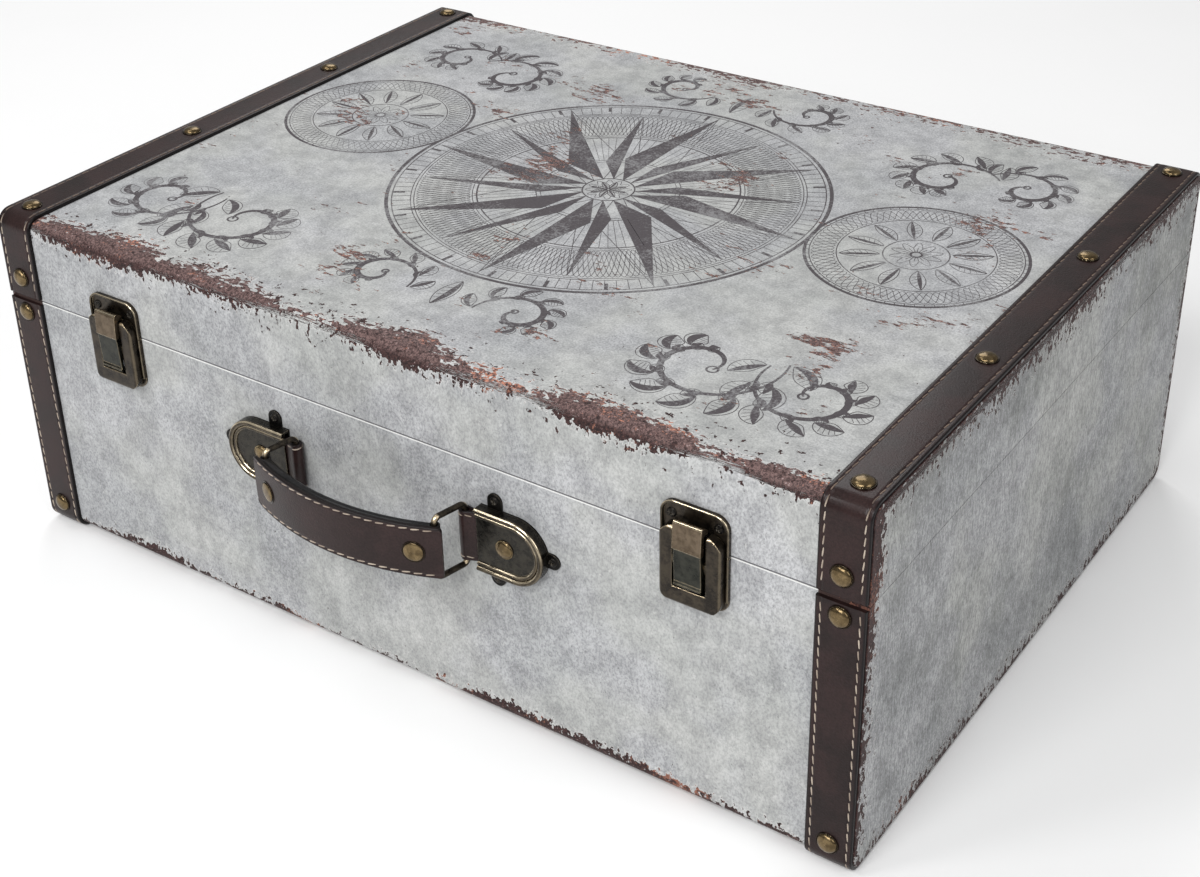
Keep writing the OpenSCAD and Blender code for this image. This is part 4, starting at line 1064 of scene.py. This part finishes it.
RIVET, RIVET_BRIGHT = (colour(86, 72, 50), colour(126, 108, 78)), colour(214, 196, 156)
rivet_brass = make_metal("rivet brass", RIVET, RIVET_BRIGHT, 0.2, 0.2 * MM, depth=0.008 * MM, groove=4 * MM)
RIVET_R, RIVET_H, RIVET_FOOT = 4.75 * MM, 2.2 * MM, 0.5 * MM
for half in ("base", "lid"):
    seats = seats_on(f"{half}_rivets", RIVET_H)
    heads = turned(f"{half}_rivet_heads", seats, dome(RIVET_R, RIVET_H, RIVET_FOOT), rivet_brass)
    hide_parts(f"{half}_rivets")
    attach(heads, half)
    print(half, len(seats), "rivets")

# %% [markdown]
# Screw heads have a cross recess. Cutting it with a boolean would leave long thin faces. Here the lathe
# makes the low dome, and a recess function lowers the points that lie inside the cross, so a head of
# some five hundred faces shows a driver's slots.

# %% Screw heads
SCREW_R, SCREW_H, SCREW_RIM = 2.0 * MM, 0.8 * MM, 0.25 * MM
RECESS_DEEP = 0.45 * MM


def cross_recess(r, angle):
    """Depth of a cross: full where the smaller of |x|, |y| is under 0.22 mm and the larger under 1.05 mm.

    It runs out where the smaller reaches 0.42 mm or the larger 1.3 mm."""
    x, y = np.abs(r * np.cos(angle)), np.abs(r * np.sin(angle))
    thin = np.clip((0.42 * MM - np.minimum(x, y)) / (0.2 * MM), 0, 1)
    short = np.clip((1.3 * MM - np.maximum(x, y)) / (0.25 * MM), 0, 1)
    return RECESS_DEEP * thin * short


share = np.linspace(1, 0.04, 14)
screw_rise = SCREW_RIM + (SCREW_H - SCREW_RIM) * np.sqrt(1 - share**2)
screw_profile = np.concatenate([[[SCREW_R, 0]], np.stack([SCREW_R * share, screw_rise], 1)])
screw_hosts = {"keeper_screws": "lid", "latch_plate_screws": "base", "mount_screws": "base",
               "hinge_base_screws": "base", "hinge_lid_screws": "lid"}
for node, host in screw_hosts.items():
    seats = seats_on(node, SCREW_H, turn=0.7)
    heads = turned(f"{node}_heads", seats, screw_profile, blackened, steps=40, recess=cross_recess)
    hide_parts(node)
    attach(heads, host)
print("screw heads on", ", ".join(screw_hosts))

# %% [markdown]
# Rolled rims. The rims of the latch plates, the lip of each tongue and the two ridges round each
# handle mount are rolled to round beads. Their upper sides carry a painted highlight, and with the
# lamps' glints they draw the light lines round the fittings. A bevel would round the plates' edges
# without standing proud, so each bead is a round wire swept along its edge, sunk into the frame's
# own rim so that only its back shows.

# %% Beads on the latches
def wire_profile(radius, count=12):
    """Circle of (across, height) points."""
    t = np.linspace(0, 2 * np.pi, count, endpoint=False)
    return radius * np.stack([np.cos(t), np.sin(t)], 1)


FORWARD = unit(0, -1, 0)
BEAD_R, BEAD_IN, BEAD_OUT, BEAD_TURN = 0.6 * MM, 0.5 * MM, 1.5 * MM, 5.5 * MM
LIP_R, LIP_OUT = 0.5 * MM, 6 * MM
PLATE_BEAD_UP, END_GAP = 6 * MM, 0.1 * MM


def bead(name, corners, out_by, radius, body):
    """Round wire along corners in the X-Z plane, at a distance off the case's front."""
    flat, aside = rounded_path(corners, BEAD_TURN, 2 * MM, 1)
    path = flat[:, [1, 0, 2]] + FORWARD * out_by + [0, FRONT, 0]
    piece = swept(name, path, aside[:, [1, 0, 2]], FORWARD, wire_profile(radius), beaded)
    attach(piece, body)


for side in ("left", "right"):
    low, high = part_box(f"{side}_keeper")
    x_low, x_high = low.x + BEAD_IN, high.x - BEAD_IN
    z_low, z_top = low.z + END_GAP, high.z - BEAD_IN
    corners = [(x_low, z_low), (x_low, z_top), (x_high, z_top), (x_high, z_low)]
    bead(f"{side}_keeper_bead", corners, BEAD_OUT, BEAD_R, "lid")
    low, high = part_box(f"{side}_latch_plate")
    z_low, z_top = low.z + PLATE_BEAD_UP, high.z - END_GAP
    for x, where in ((low.x + BEAD_IN, "left"), (high.x - BEAD_IN, "right")):
        bead(f"{side}_plate_{where}_bead", [(x, z_low), (x, z_top)], BEAD_OUT, BEAD_R, "base")
    low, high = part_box(f"{side}_tongue")
    corners = [(low.x + END_GAP, high.z - LIP_R), (high.x - END_GAP, high.z - LIP_R)]
    bead(f"{side}_tongue_bead", corners, LIP_OUT, LIP_R, f"{side}_latch_tongue")


# %% Beads on the handle mounts
# Name, inset from the cap's outline, distance off the front, and radius, in millimetres
RIDGES = [("outer", 1.1, 4.3, 1.18), ("inner", 3.3, 4.0, 0.95)]


def dee_line(cap, sign, inset):
    """Line round a mount: straight, a half circle of the cap's radius less the inset, and straight again."""
    low, high = cap
    radius = (high.z - low.z) / 2
    turn = np.concatenate([[-1], np.linspace(-1, 1, 41), [1]]) * math.pi / 2
    far, flat = max(abs(low.x), abs(high.x)) - radius, min(abs(low.x), abs(high.x))
    centre = np.full(len(turn), far)
    centre[[0, -1]] = flat + 0.02 * MM
    r = radius - inset
    x, z = sign * (centre + r * np.cos(turn)), (low.z + high.z) / 2 + r * np.sin(turn)
    normal = np.stack([sign * np.cos(turn), 0 * turn, np.sin(turn)], 1)
    return np.stack([x, np.full(len(x), FRONT), z], 1), normal


for side, sign in (("left", -1), ("right", 1)):
    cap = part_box(f"{side}_mount_cap")
    for name, inset, out_by, radius in RIDGES:
        line_points, line_out = dee_line(cap, sign, inset * MM)
        line_points = line_points + FORWARD * out_by * MM
        wire = wire_profile(radius * MM, 16)
        ridge = swept(f"{side}_mount_{name}_bead", line_points, line_out, FORWARD, wire, beaded)
        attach(ridge, "base")
beads = [piece.name for piece in scene.objects if piece.name.endswith("_bead")]
print(len(beads), "beads on the latches and mounts")

# %% [markdown]
# The handle's grip. Its front is a leather band with stitched edges and round ends, bent to an arc.
# Bending a straight band with a modifier would do too, but the sweep already takes any path, and the
# arc's rows can stand closer at the round ends. The arc follows from three sizes of the frame: the
# chord between the rings' bars, its rise, and how far the stored handle leans to the left.

# %% Arc of the grip
ring_low, ring_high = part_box("left_ring")
HANDLE_Z = (ring_low.z + ring_high.z) / 2
CHORD, RISE, CORE_T, GRIP_W, GRIP_T = 44.7 * MM, 9 * MM, 4.8 * MM, 24 * MM, 1.5 * MM
LEAN, RING_L, BAR_OUT, BORE_R = math.radians(13), 15.5 * MM, 2.95 * MM, 1.5 * MM
GRIP_R = (CHORD**2 + RISE**2) / (2 * RISE)
grip_middle = np.array([-RING_L * math.sin(LEAN), FRONT - BAR_OUT - RING_L * math.cos(LEAN), HANDLE_Z])
arc_centre = grip_middle + [0, GRIP_R - RISE, 0]
BAR_TURN = math.asin(CHORD / GRIP_R)
UP = unit(0, 0, 1)


def arc_path(radius, turns):
    """Points and outward directions of an arc seen from above: centre + radius * (sin t, -cos t)."""
    out = np.stack([np.sin(turns), -np.cos(turns), 0 * turns], 1)
    return arc_centre + radius * out, out


# %% Grip leather
PAST_BAR, END_CORNER, GRIP_SEAM = 3.7 * MM, 1.6 * MM, 1.5 * MM


def rounded_end(path, half_width, corner):
    """Share of the full width at each row of a path whose ends have round corners.

    Within the corner radius of an end the half width lacks corner * (1 - sqrt(1 - m^2)), where m
    falls from 1 at the end to 0."""
    distance = travelled(path)
    inward = np.minimum(distance, distance[-1] - distance)
    missing = np.clip(1 - inward / corner, 0, 1)
    return 1 - corner * (1 - np.sqrt(1 - missing**2)) / half_width


grip_brown, grip_edge = (colour(39, 27, 26), colour(51, 36, 35)), colour(24, 18, 18)
grip_leather = make_leather("grip leather", *grip_brown, grip_edge, GRIP_W / 2, 0.34)
face_r = GRIP_R + CORE_T / 2 + 0.05 * MM
leather_turn = BAR_TURN + math.atan2(PAST_BAR, GRIP_R)
ends = np.array([0, 0.25, 0.6, 1.1]) * MM / GRIP_R
turns = np.concatenate([-leather_turn + ends, np.linspace(-leather_turn + 0.02, leather_turn - 0.02, 70),
                        leather_turn - ends[::-1]])
grip_path, grip_out = arc_path(face_r, turns)
narrow = rounded_end(grip_path, GRIP_W / 2, END_CORNER)
grip_profile = band_profile(GRIP_W, GRIP_T, seam_in=GRIP_SEAM)
front_leather = swept("grip_front_leather", grip_path, grip_out, UP, grip_profile, grip_leather, narrow)
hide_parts("grip_leather")
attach(front_leather, "handle_grip")
print("grip %.1f mm wide, arc radius %.1f mm" % (GRIP_W / MM, GRIP_R / MM))

# %% [markdown]
# The grip's core is a firm black pad behind the leather. At each end it goes round a ring's bar as an
# eye. It counts as padded, but it is thin and stitched all along, so it can't bulge: a swept profile
# with half-round edges gives its form, and a cloth simulation would add nothing.

# %% Grip core
black_tones = colour(22, 22, 23), colour(38, 37, 37)
black_leather = make_leather("black leather", *black_tones, grey(22), 0, 0.36)
CORE_W, EYE_NEAR = GRIP_W - 1 * MM, 1.62 * MM


def pad_profile(width, thick, count=14):
    """Closed outline of a firm pad: two straight faces between half circles."""
    t = np.linspace(-np.pi / 2, np.pi / 2, count)
    edge = np.stack([width / 2 - thick / 2 + thick / 2 * np.cos(t), thick / 2 * np.sin(t)], 1)
    return np.concatenate([edge, -edge])


core_turn = BAR_TURN - math.asin(EYE_NEAR / GRIP_R)
core_path, core_out = arc_path(GRIP_R, np.linspace(-core_turn, core_turn, 60))
core = swept("grip_padded_core", core_path, core_out, UP, pad_profile(CORE_W, CORE_T), black_leather)
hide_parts("grip_core")


# %% Eyes of the core
def ring_of(name, centre, profile, material, steps=36):
    """Closed ring: a closed profile of (radius, height) turned round an upright axis."""
    angle = np.linspace(0, 2 * np.pi, steps, endpoint=False)
    spread = np.stack([np.cos(angle), np.sin(angle), 0 * angle], 1)
    points = centre + spread[:, None] * profile[None, :, :1] + UP * profile[None, :, 1:]
    faces = grid_quads(steps, len(profile), round_rows=True)
    return make_piece(name, points.reshape(-1, 3), faces.tolist(), material)


eye_t = np.linspace(0, 2 * np.pi, 20, endpoint=False)
eye_wall = (CORE_T / 2 - BORE_R) / 2
eye_radius = BORE_R + eye_wall + eye_wall * np.cos(eye_t)
eye_height = np.sign(np.sin(eye_t)) * (CORE_W / 2 - eye_wall) + eye_wall * np.sin(eye_t)
eye_profile = np.stack([eye_radius, eye_height], 1)
eyes = [ring_of(f"{side}_grip_eye", grip_middle + [sign * CHORD, 0, 0], eye_profile, black_leather)
        for side, sign in (("left", -1), ("right", 1))]
for piece in [core] + eyes:
    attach(piece, "handle_grip")
print("core %.1f mm thick, with %d eyes" % (CORE_T / MM, len(eyes)))

# %% [markdown]
# The grip is sewn along both edges and held by two flat rivets, which show a head on the leather and a
# smaller one on the core's hollow side. They reuse the stitches and the domed profile of the straps,
# only lower, since one good profile serves every rivet of the case.

# %% Grip stitches and rivets
GRIP_THREAD = {"height": GRIP_T - 0.33 * MM, "pitch": 5.0 * MM, "length": 4.85 * MM, "width": 0.8 * MM,
               "trim": 0.6 * MM}
rows = seam_pair(grip_path[3:-3], grip_out[3:-3], UP, GRIP_W / 2 - GRIP_SEAM, GRIP_THREAD)
print(sew("grip_stitches", rows, "handle_grip"), "stitches on the grip")
HEAD_SINK = 0.12 * MM
rivet_turn = leather_turn - 11.5 * MM / GRIP_R


def grip_seats(radius, hand):
    """Seats of the grip's two rivets at a radius; hand is 1 for heads in front and -1 for heads behind."""
    outs = [unit(math.sin(t), -math.cos(t), 0) for t in (-rivet_turn, rivet_turn)]
    return [(arc_centre + out * radius, hand * out, UP) for out in outs]


front_seats = grip_seats(face_r + GRIP_T - HEAD_SINK, 1)
grip_heads = turned("grip_rivet_heads", front_seats, dome(5 * MM, 1.15 * MM, 0.35 * MM), rivet_brass)
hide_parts("grip_rivets")
back_seats = grip_seats(GRIP_R - CORE_T / 2 + HEAD_SINK, -1)
back_heads = turned("grip_rivet_back_heads", back_seats, dome(4 * MM, 0.85 * MM, 0.3 * MM), rivet_brass)
for piece in (grip_heads, back_heads):
    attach(piece, "handle_grip")

# %% [markdown]
# Leather loops hold the rings. Each is one band folded in half round the ring's bar, with both
# ends under the mount's cap. Two flat layers would leave out the fold, which shows beside the ring, so
# a line drawn round the bar and out along the middle of the two layers carries the band's profile.
# The band's inner face stays on the line, so the layers just touch.

# %% Mount loops
LOOP_T, LOOP_W, STRIP_OUT = 1.2 * MM, 23.5 * MM, 0.85 * MM
FLAT_X, END_X, LOOP_SEAM = 50.4 * MM, 70.5 * MM, 1.8 * MM
LOOP_THREAD = {"height": LOOP_T - 0.08 * MM, "pitch": 3.6 * MM, "length": 3.1 * MM, "width": 0.6 * MM,
               "trim": 0.3 * MM}
loop_profile = band_profile(LOOP_W, LOOP_T, 0.4 * MM, LOOP_SEAM)


def loop_path(sign):
    """Line of a folded band: in along the middle, by a tangent arc round the bar, and out again."""
    middle = STRIP_OUT + LOOP_T
    bar = np.array([CHORD, BAR_OUT])
    corner = np.array([FLAT_X, middle])
    aim = corner - bar
    reach = np.linalg.norm(aim)
    tilt = math.atan2(aim[1], aim[0])
    open_angle = math.acos(BORE_R / reach)
    t = np.linspace(tilt + open_angle, tilt - open_angle + 2 * math.pi, 40)
    arc = bar + BORE_R * np.stack([np.cos(t), np.sin(t)], 1)
    run = np.linspace(END_X, FLAT_X, 12)[:-1]
    straight = np.stack([run, np.full(len(run), middle)], 1)
    slope_in = corner + (arc[0] - corner) * np.linspace(0, 1, 6, endpoint=False)[:, None]
    slope_out = corner + (arc[-1] - corner) * np.linspace(0, 1, 6, endpoint=False)[:, None]
    flat = np.concatenate([straight, slope_in, arc, slope_out[::-1], straight[::-1]])
    forward = np.gradient(flat, axis=0)
    forward /= np.linalg.norm(forward, axis=1)[:, None]
    normal = np.stack([forward[:, 1], -forward[:, 0]], 1)
    line = np.stack([sign * flat[:, 0], FRONT - flat[:, 1], np.full(len(flat), HANDLE_Z)], 1)
    out = np.stack([sign * normal[:, 0], -normal[:, 1], 0 * flat[:, 0]], 1)
    return line, out


# Rows of a loop's line that stitches follow, which lie clear of the cap
shown = slice(12, -14)
for side, sign in (("left", -1), ("right", 1)):
    line_points, line_out = loop_path(sign)
    band = swept(f"{side}_folded_loop", line_points, line_out, UP, loop_profile, grip_leather)
    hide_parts(f"{side}_mount_loop")
    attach(band, "base")
    rows = seam_pair(line_points[shown], line_out[shown], UP, LOOP_W / 2 - LOOP_SEAM, LOOP_THREAD)
    print(side, "loop:", sew(f"{side}_loop_stitches", rows, "base"), "stitches")

# %% Mount rivets
MOUNT_HEAD_H = 1.4 * MM
mount_seats = seats_on("mount_rivets", MOUNT_HEAD_H)
mount_profile = dome(4.3 * MM, MOUNT_HEAD_H, 0.4 * MM)
mount_heads = turned("mount_rivet_heads", mount_seats, mount_profile, rivet_brass)
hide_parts("mount_rivets")
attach(mount_heads, "base")
print(len(mount_seats), "mount rivets")

# %% [markdown]
# The lid's print is a plain ornament in dark ink: a large wind rose in rings of engine turning, two
# flower rounds beside it, and leafy scrolls in the corners and at the middle of the front and back.
# An image would blur from near, so every line is a flat ribbon just above the covering, worked out by
# a formula, and ribbons that cross lie a hair apart. A noise fades the ink's colour towards the
# paper's, and its transparency leaves it out where the covering is worn.

# %% Ink material
def make_ink():
    """Ink, faded in spells by a slow noise + 0.9 * a fine one, and gone where the paper is."""
    material, tree, shader = new_material("printing ink")
    place = position_mm(tree)
    wear = use_group(tree, wear_group, Position=place)
    fade = noise(tree, place, 0.035, 3.0, 0.6)
    broken = noise(tree, place, 0.9, 4.0, 0.7)
    press = remap(tree, calc(tree, "MULTIPLY_ADD", broken, 0.9, fade), 0.72, 1.0, 0.62, 1.0)
    body = blend_colour(tree, press, colour(180, 181, 182), colour(76, 71, 74))
    feed(tree, shader.inputs["Base Color"], body)
    feed(tree, shader.inputs["Roughness"], remap(tree, broken, 0.3, 0.7, 0.6, 0.75))
    shader.inputs["Specular IOR Level"].default_value = 0.2
    feed(tree, shader.inputs["Alpha"], calc(tree, "SUBTRACT", 1.0, wear["Ground"]))
    return material


ink = make_ink()
print("ink:", len(ink.node_tree.nodes), "nodes")


# %% Ink strokes
def stroke(points, left, right=None):
    """Flat ribbon along points (n, 2), reaching left and right of the line by the given widths, in mm."""
    points = np.asarray(points, float)
    left = np.broadcast_to(np.asarray(left, float), len(points))
    right = left if right is None else np.broadcast_to(np.asarray(right, float), len(points))
    forward = np.gradient(points, axis=0)
    forward /= np.linalg.norm(forward, axis=1)[:, None] + 1e-12
    normal = np.stack([-forward[:, 1], forward[:, 0]], 1)
    return np.stack([points + normal * left[:, None], points - normal * right[:, None]], 1)


def round_line(centre, radius, width, count, lobes=0, swing=0.0, phase=0.0):
    """Closed ring: r = radius + swing * cos(lobes * t + phase)."""
    t = np.linspace(0, 2 * np.pi, count + 1)
    r = radius + swing * np.cos(lobes * t + phase)
    return [stroke(np.stack([centre[0] + r * np.cos(t), centre[1] + r * np.sin(t)], 1), width / 2)]


def spokes(centre, inner, outer, count, width, phase=0.0):
    """Straight lines outwards from a centre, at even angles."""
    drawn = []
    for t in np.arange(count) * 2 * np.pi / count + phase:
        ends = np.array([[math.cos(t), math.sin(t)]]) * np.array([[inner], [outer]]) + centre
        drawn.append(stroke(ends, width / 2))
    return drawn


# %% Star points
def star(centre, inner, outer, count, waist, phase=0.0):
    """Points of a wind rose: each a narrow kite with one half filled and the other half lined round.

    Half width = waist * length * min(4 s, (1 - s) / 0.75), where s goes from 0 inside to 1 outside."""
    drawn = []
    for t in np.arange(count) * 2 * np.pi / count + phase:
        axis = np.array([math.cos(t), math.sin(t)])
        across = np.array([-axis[1], axis[0]])
        line = centre + axis * np.linspace(inner, outer, 9)[:, None]
        share = np.linspace(0, 1, 9)
        width = (outer - inner) * waist * np.minimum(share / 0.25, (1 - share) / 0.75)
        drawn.append(stroke(line, width, 0.12))
        edge = line - across * width[:, None]
        drawn.append(stroke(edge, 0.16))
    return drawn


# %% Leaves and scrolls
def leaf(root, angle, length, width, fill=0.55, bend=0.25):
    """Leaf on a bent midrib: half width = width * sin(pi * s)^0.8; one side filled, the other veined."""
    s = np.linspace(0, 1, 15)
    heading = angle + bend * s
    rib = np.cumsum(np.stack([np.cos(heading), np.sin(heading)], 1), 0) * length / 15 + root
    half = width * np.sin(np.pi * s) ** 0.8
    normal = np.stack([-np.sin(heading), np.cos(heading)], 1)
    drawn = [stroke(rib, half * fill, 0.15), stroke(rib + normal * half[:, None], 0.17)]
    drawn.append(stroke(rib - normal * half[:, None], 0.17))
    for k in (4, 6, 8, 10):
        vein = np.stack([rib[k], rib[k + 1] - normal[k + 1] * half[k + 1] * 0.8])
        drawn.append(stroke(vein, 0.1))
    return drawn


def scroll(root, angle, size, hand, leaves=9):
    """Leafy scroll: a spiral whose radius shrinks by exp(-0.23 t), with leaves on both sides of its stem."""
    t = np.linspace(0, 4.6 * np.pi / 2, 70)
    r = size * np.exp(-0.23 * t)
    spin = angle + hand * t
    curl = np.stack([r * np.cos(spin), r * np.sin(spin)], 1)
    curl += np.asarray(root) - curl[0]
    thick = 0.4 + 1.0 * np.sin(np.linspace(0, np.pi, 70))
    drawn = [stroke(curl, thick)]
    for k, at in enumerate(np.linspace(0, 40, leaves).astype(int)):
        fall = 0.62 - 0.035 * k
        for start, heading, long, wide, fill, bend in (
                (at, spin[at] + hand * 0.75, fall, 0.16, 0.7, hand * 0.9),
                (at + 4, spin[at] + hand * 2.35, fall * 0.5, 0.085, 0.95, -hand * 0.8)):
            root = curl[start] + 1.3 * thick[start] * np.array([math.cos(heading), math.sin(heading)])
            drawn += leaf(root, heading, size * long, size * wide, fill, bend)
    drawn += round_line(curl[-1], size * 0.07, 0.9, 20)
    return drawn


# %% Compose the wind rose
# The print's sizes are in millimetres; the rings are rows of (radius, line width)
ROSE_RINGS = [(101, 1.7), (98.6, 0.5), (90, 0.4), (88.5, 0.4), (62, 0.35), (60, 0.7), (33, 0.5), (31, 0.3)]
FLOWER_RINGS = [(47, 1.4), (45, 0.4), (33.5, 0.4), (14, 0.5)]
BEHIND_MIDDLE = 4


def rings(centre, sizes, count):
    """Plain rings from rows of (radius, line width)."""
    return [part for radius, width in sizes for part in round_line(centre, radius, width, count)]


def wind_rose(centre):
    """Rings, a graded rim, engine turning between the rings, sixteen points and a small rosette."""
    drawn = rings(centre, ROSE_RINGS, 200)
    drawn += spokes(centre, inner=90, outer=98.6, count=120, width=0.28)
    drawn += spokes(centre, inner=93, outer=98.6, count=24, width=1.5, phase=0.06)
    for phase in np.arange(6) * 2 * np.pi / 6:
        drawn += round_line(centre, 75.2, 0.24, 720, lobes=36, swing=12.2, phase=phase)
    drawn += spokes(centre, inner=33, outer=60, count=96, width=0.2)
    drawn += star(centre, inner=12, outer=87, count=8, phase=math.pi / 8, waist=0.10)
    drawn += star(centre, inner=12, outer=97, count=8, waist=0.15)
    drawn += round_line(centre, 12, 0.6, 60)
    drawn += round_line(centre, 9, 0.3, 120, lobes=12, swing=1.6)
    for t in np.arange(8) * np.pi / 4:
        drawn += leaf(centre, t, length=8.6, width=1.5)
    return drawn


# %% Compose the flower rounds and scrolls
def flower_round(centre):
    """Rings with engine turning, twelve petals round a small heart."""
    drawn = rings(centre, FLOWER_RINGS, 140)
    drawn += spokes(centre, inner=45, outer=47, count=72, width=0.3)
    for phase in (0, math.pi / 2, math.pi, 3 * math.pi / 2):
        drawn += round_line(centre, 39.3, 0.24, 420, lobes=21, swing=4.8, phase=phase)
    for t in np.arange(12) * np.pi / 6:
        root = centre + 14 * np.array([math.cos(t), math.sin(t)])
        drawn += leaf(root, t - 0.2, length=18.5, width=3.3, fill=0.5, bend=0.35)
    drawn += round_line(centre, 9, 0.3, 120, lobes=10, swing=2.4)
    drawn += spokes(centre, inner=2, outer=6.4, count=20, width=0.25)
    drawn += round_line(centre, 2.4, 0.9, 24)
    return drawn


def half_scrolls(rose, sign, front, corner, size, tail):
    """Scrolls of one corner and of half the middle: sign is -1 on the left, front is -1 at the front.

    corner and tail are how far to the side and the front or back of the rose they start."""
    outward, inward = math.pi * (0.5 - sign * 0.5), math.pi * (0.5 + sign * 0.5)
    root = rose + [sign * corner[0], front * corner[1]]
    drawn = scroll(root, outward + sign * 0.5, size, front * sign)
    beside = root + [-sign * 6, 4 * front]
    drawn += scroll(beside, inward - sign * 0.4, size * 0.85, -front * sign, leaves=8)
    middle = rose + [sign * tail[0], front * tail[1]]
    drawn += scroll(middle, inward + sign * 0.2, 20, front * sign, leaves=8)
    return drawn


rose = np.array([0.0, (FRONT + BACK) / 2 / MM + BEHIND_MIDDLE])
lines = wind_rose(rose)
for sign in (-1, 1):
    lines += flower_round(rose + [sign * 147, 14])
    lines += half_scrolls(rose, sign, -1, (148, 96), 33, (17, 124))
    lines += half_scrolls(rose, sign, 1, (146, 102), 26, (17, 122))
    lines += leaf(rose + [0, sign * 106], sign * math.pi / 2, length=24, width=4, fill=0.7, bend=0.0)
print(len(lines), "lines of ink")

# %% Lay the print on the lid
LIFT, HAIR, LAYERS = 0.04 * MM, 0.0015 * MM, 41
blocks, faces, count = [], [], 0
for number, ribbon in enumerate(lines):
    flat = ribbon.reshape(-1, 2) * MM
    height = TOP + LIFT + number % LAYERS * HAIR
    blocks.append(np.hstack([flat, np.full((len(flat), 1), height)]))
    faces.append(grid_quads(len(ribbon), 2, count, round_columns=False))
    count += len(flat)
print_faces = np.concatenate(faces)
picture = make_piece("lid_print", np.concatenate(blocks), print_faces.tolist(), ink, closed=False)
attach(picture, "lid")
normals = np.empty(len(picture.data.polygons) * 3)
picture.data.polygons.foreach_get("normal", normals)
print("print:", len(print_faces), "faces, facing up:", bool((normals.reshape(-1, 3)[:, 2] > 0).all()))

# %% [markdown]
# Light and camera. A pale floor, a bright even surround and soft lamps give the photo's studio
# light: top and front bright, the right end a shade darker. A sky or a surround picture would do for
# the metals, but lamps can be placed. The glint lamp ahead, the top lamp overhead and the bend lamp at
# the left put the short bright glints on the fittings' rims and on the straps' bends.

# %% Floor
FLOOR_REACH = 4.0


def make_floor():
    """Large matt floor, which only stages the case."""
    material, tree, shader = new_material("studio floor")
    place = position_mm(tree)
    shader.inputs["Base Color"].default_value = grey(250)
    feed(tree, shader.inputs["Roughness"], remap(tree, noise(tree, place, 0.01), 0.3, 0.7, 0.75, 0.9))
    points = FLOOR_REACH * np.array([[-1, -1, 0], [1, -1, 0], [1, 1, 0], [-1, 1, 0]])
    floor = make_piece("studio_floor", points, [[0, 1, 2, 3]], material, closed=False)
    floor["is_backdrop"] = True


make_floor()
print("floor %.0f m wide" % (2 * FLOOR_REACH))

# %% Lamps and surround
# Name, place and target in metres, size in metres, power in watts
LAMPS = [
    ("key lamp", (0.1, -1.9, 1.5), (0, 0, 0.08), 1.0, 25),
    ("glint lamp", (0.5, -1.3, 1.7), (0, 0, 0.08), 0.3, 5),
    ("side lamp", (1.9, -0.4, 1.2), (0, 0, 0.08), 1.2, 13),
    ("back lamp", (-0.9, 1.3, 1.5), (0, 0, 0.1), 1.0, 11),
    ("top lamp", (-0.75, -0.15, 1.45), (0, 0, 0.1), 0.5, 3),
    ("bend lamp", (-0.75, -1.25, 1.5), (0, 0, 0.1), 0.4, 6),
]


def add_lamp(name, place, target, size, power):
    """Square soft lamp at a place, turned to a target."""
    data = bpy.data.lights.new(name, "AREA")
    data.shape = "SQUARE"
    data.size = size
    data.energy = power
    lamp = bpy.data.objects.new(name, data)
    scene.collection.objects.link(lamp)
    lamp.location = place
    away = Vector(place) - Vector(target)
    lamp.rotation_euler = away.to_track_quat("Z", "Y").to_euler()


for lamp in LAMPS:
    add_lamp(*lamp)
world = bpy.data.worlds.new("studio surround")
scene.world = world
world.use_nodes = True
surround = world.node_tree.nodes["Background"]
surround.inputs["Color"].default_value = (1, 1, 1, 1)
surround.inputs["Strength"].default_value = 0.34
scene.view_settings.view_transform = "Standard"
print(len(LAMPS), "lamps")

# %% [markdown]
# The camera stands where the photo's did, worked out from the case's corners: its eye, its turn about
# three axes and its focal length. It could be set by trial, but the corners fix it to a few pixels. The
# photo's middle isn't the lens's, so a shift keeps the photo's framing.

# %% Camera
PHOTO_W, PHOTO_H = 1200, 877
FOCAL_PX = 1887.5
LENS_CENTRE = (585, 329)
SENSOR = 36
EYE = (442.93 * MM, -630.08 * MM, 523.33 * MM)
AZIMUTH, ELEVATION, ROLL = (math.radians(a) for a in (35.294, 28.783, -1.415))
camera_data = bpy.data.cameras.new("camera")
camera_data.sensor_width = SENSOR
camera_data.lens = SENSOR * FOCAL_PX / PHOTO_W
camera_data.shift_x = (PHOTO_W / 2 - LENS_CENTRE[0]) / PHOTO_W
camera_data.shift_y = (LENS_CENTRE[1] - PHOTO_H / 2) / PHOTO_W
camera = bpy.data.objects.new("camera", camera_data)
scene.collection.objects.link(camera)
scene.camera = camera
toward = np.array([math.sin(AZIMUTH) * math.cos(ELEVATION), -math.cos(AZIMUTH) * math.cos(ELEVATION),
                   math.sin(ELEVATION)])
right = np.cross([0, 0, 1], toward)
right /= np.linalg.norm(right)
up = np.cross(toward, right)
rolled_right = right * math.cos(ROLL) + up * math.sin(ROLL)
rolled_up = up * math.cos(ROLL) - right * math.sin(ROLL)
placed = np.eye(4)
placed[:3, :3] = np.stack([rolled_right, rolled_up, toward], 1)
placed[:3, 3] = EYE
camera.matrix_world = Matrix(placed.tolist())
print("lens %.1f mm" % camera_data.lens)

# %% [markdown]
# Finish.

# %% Sizes and finish
low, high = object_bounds()
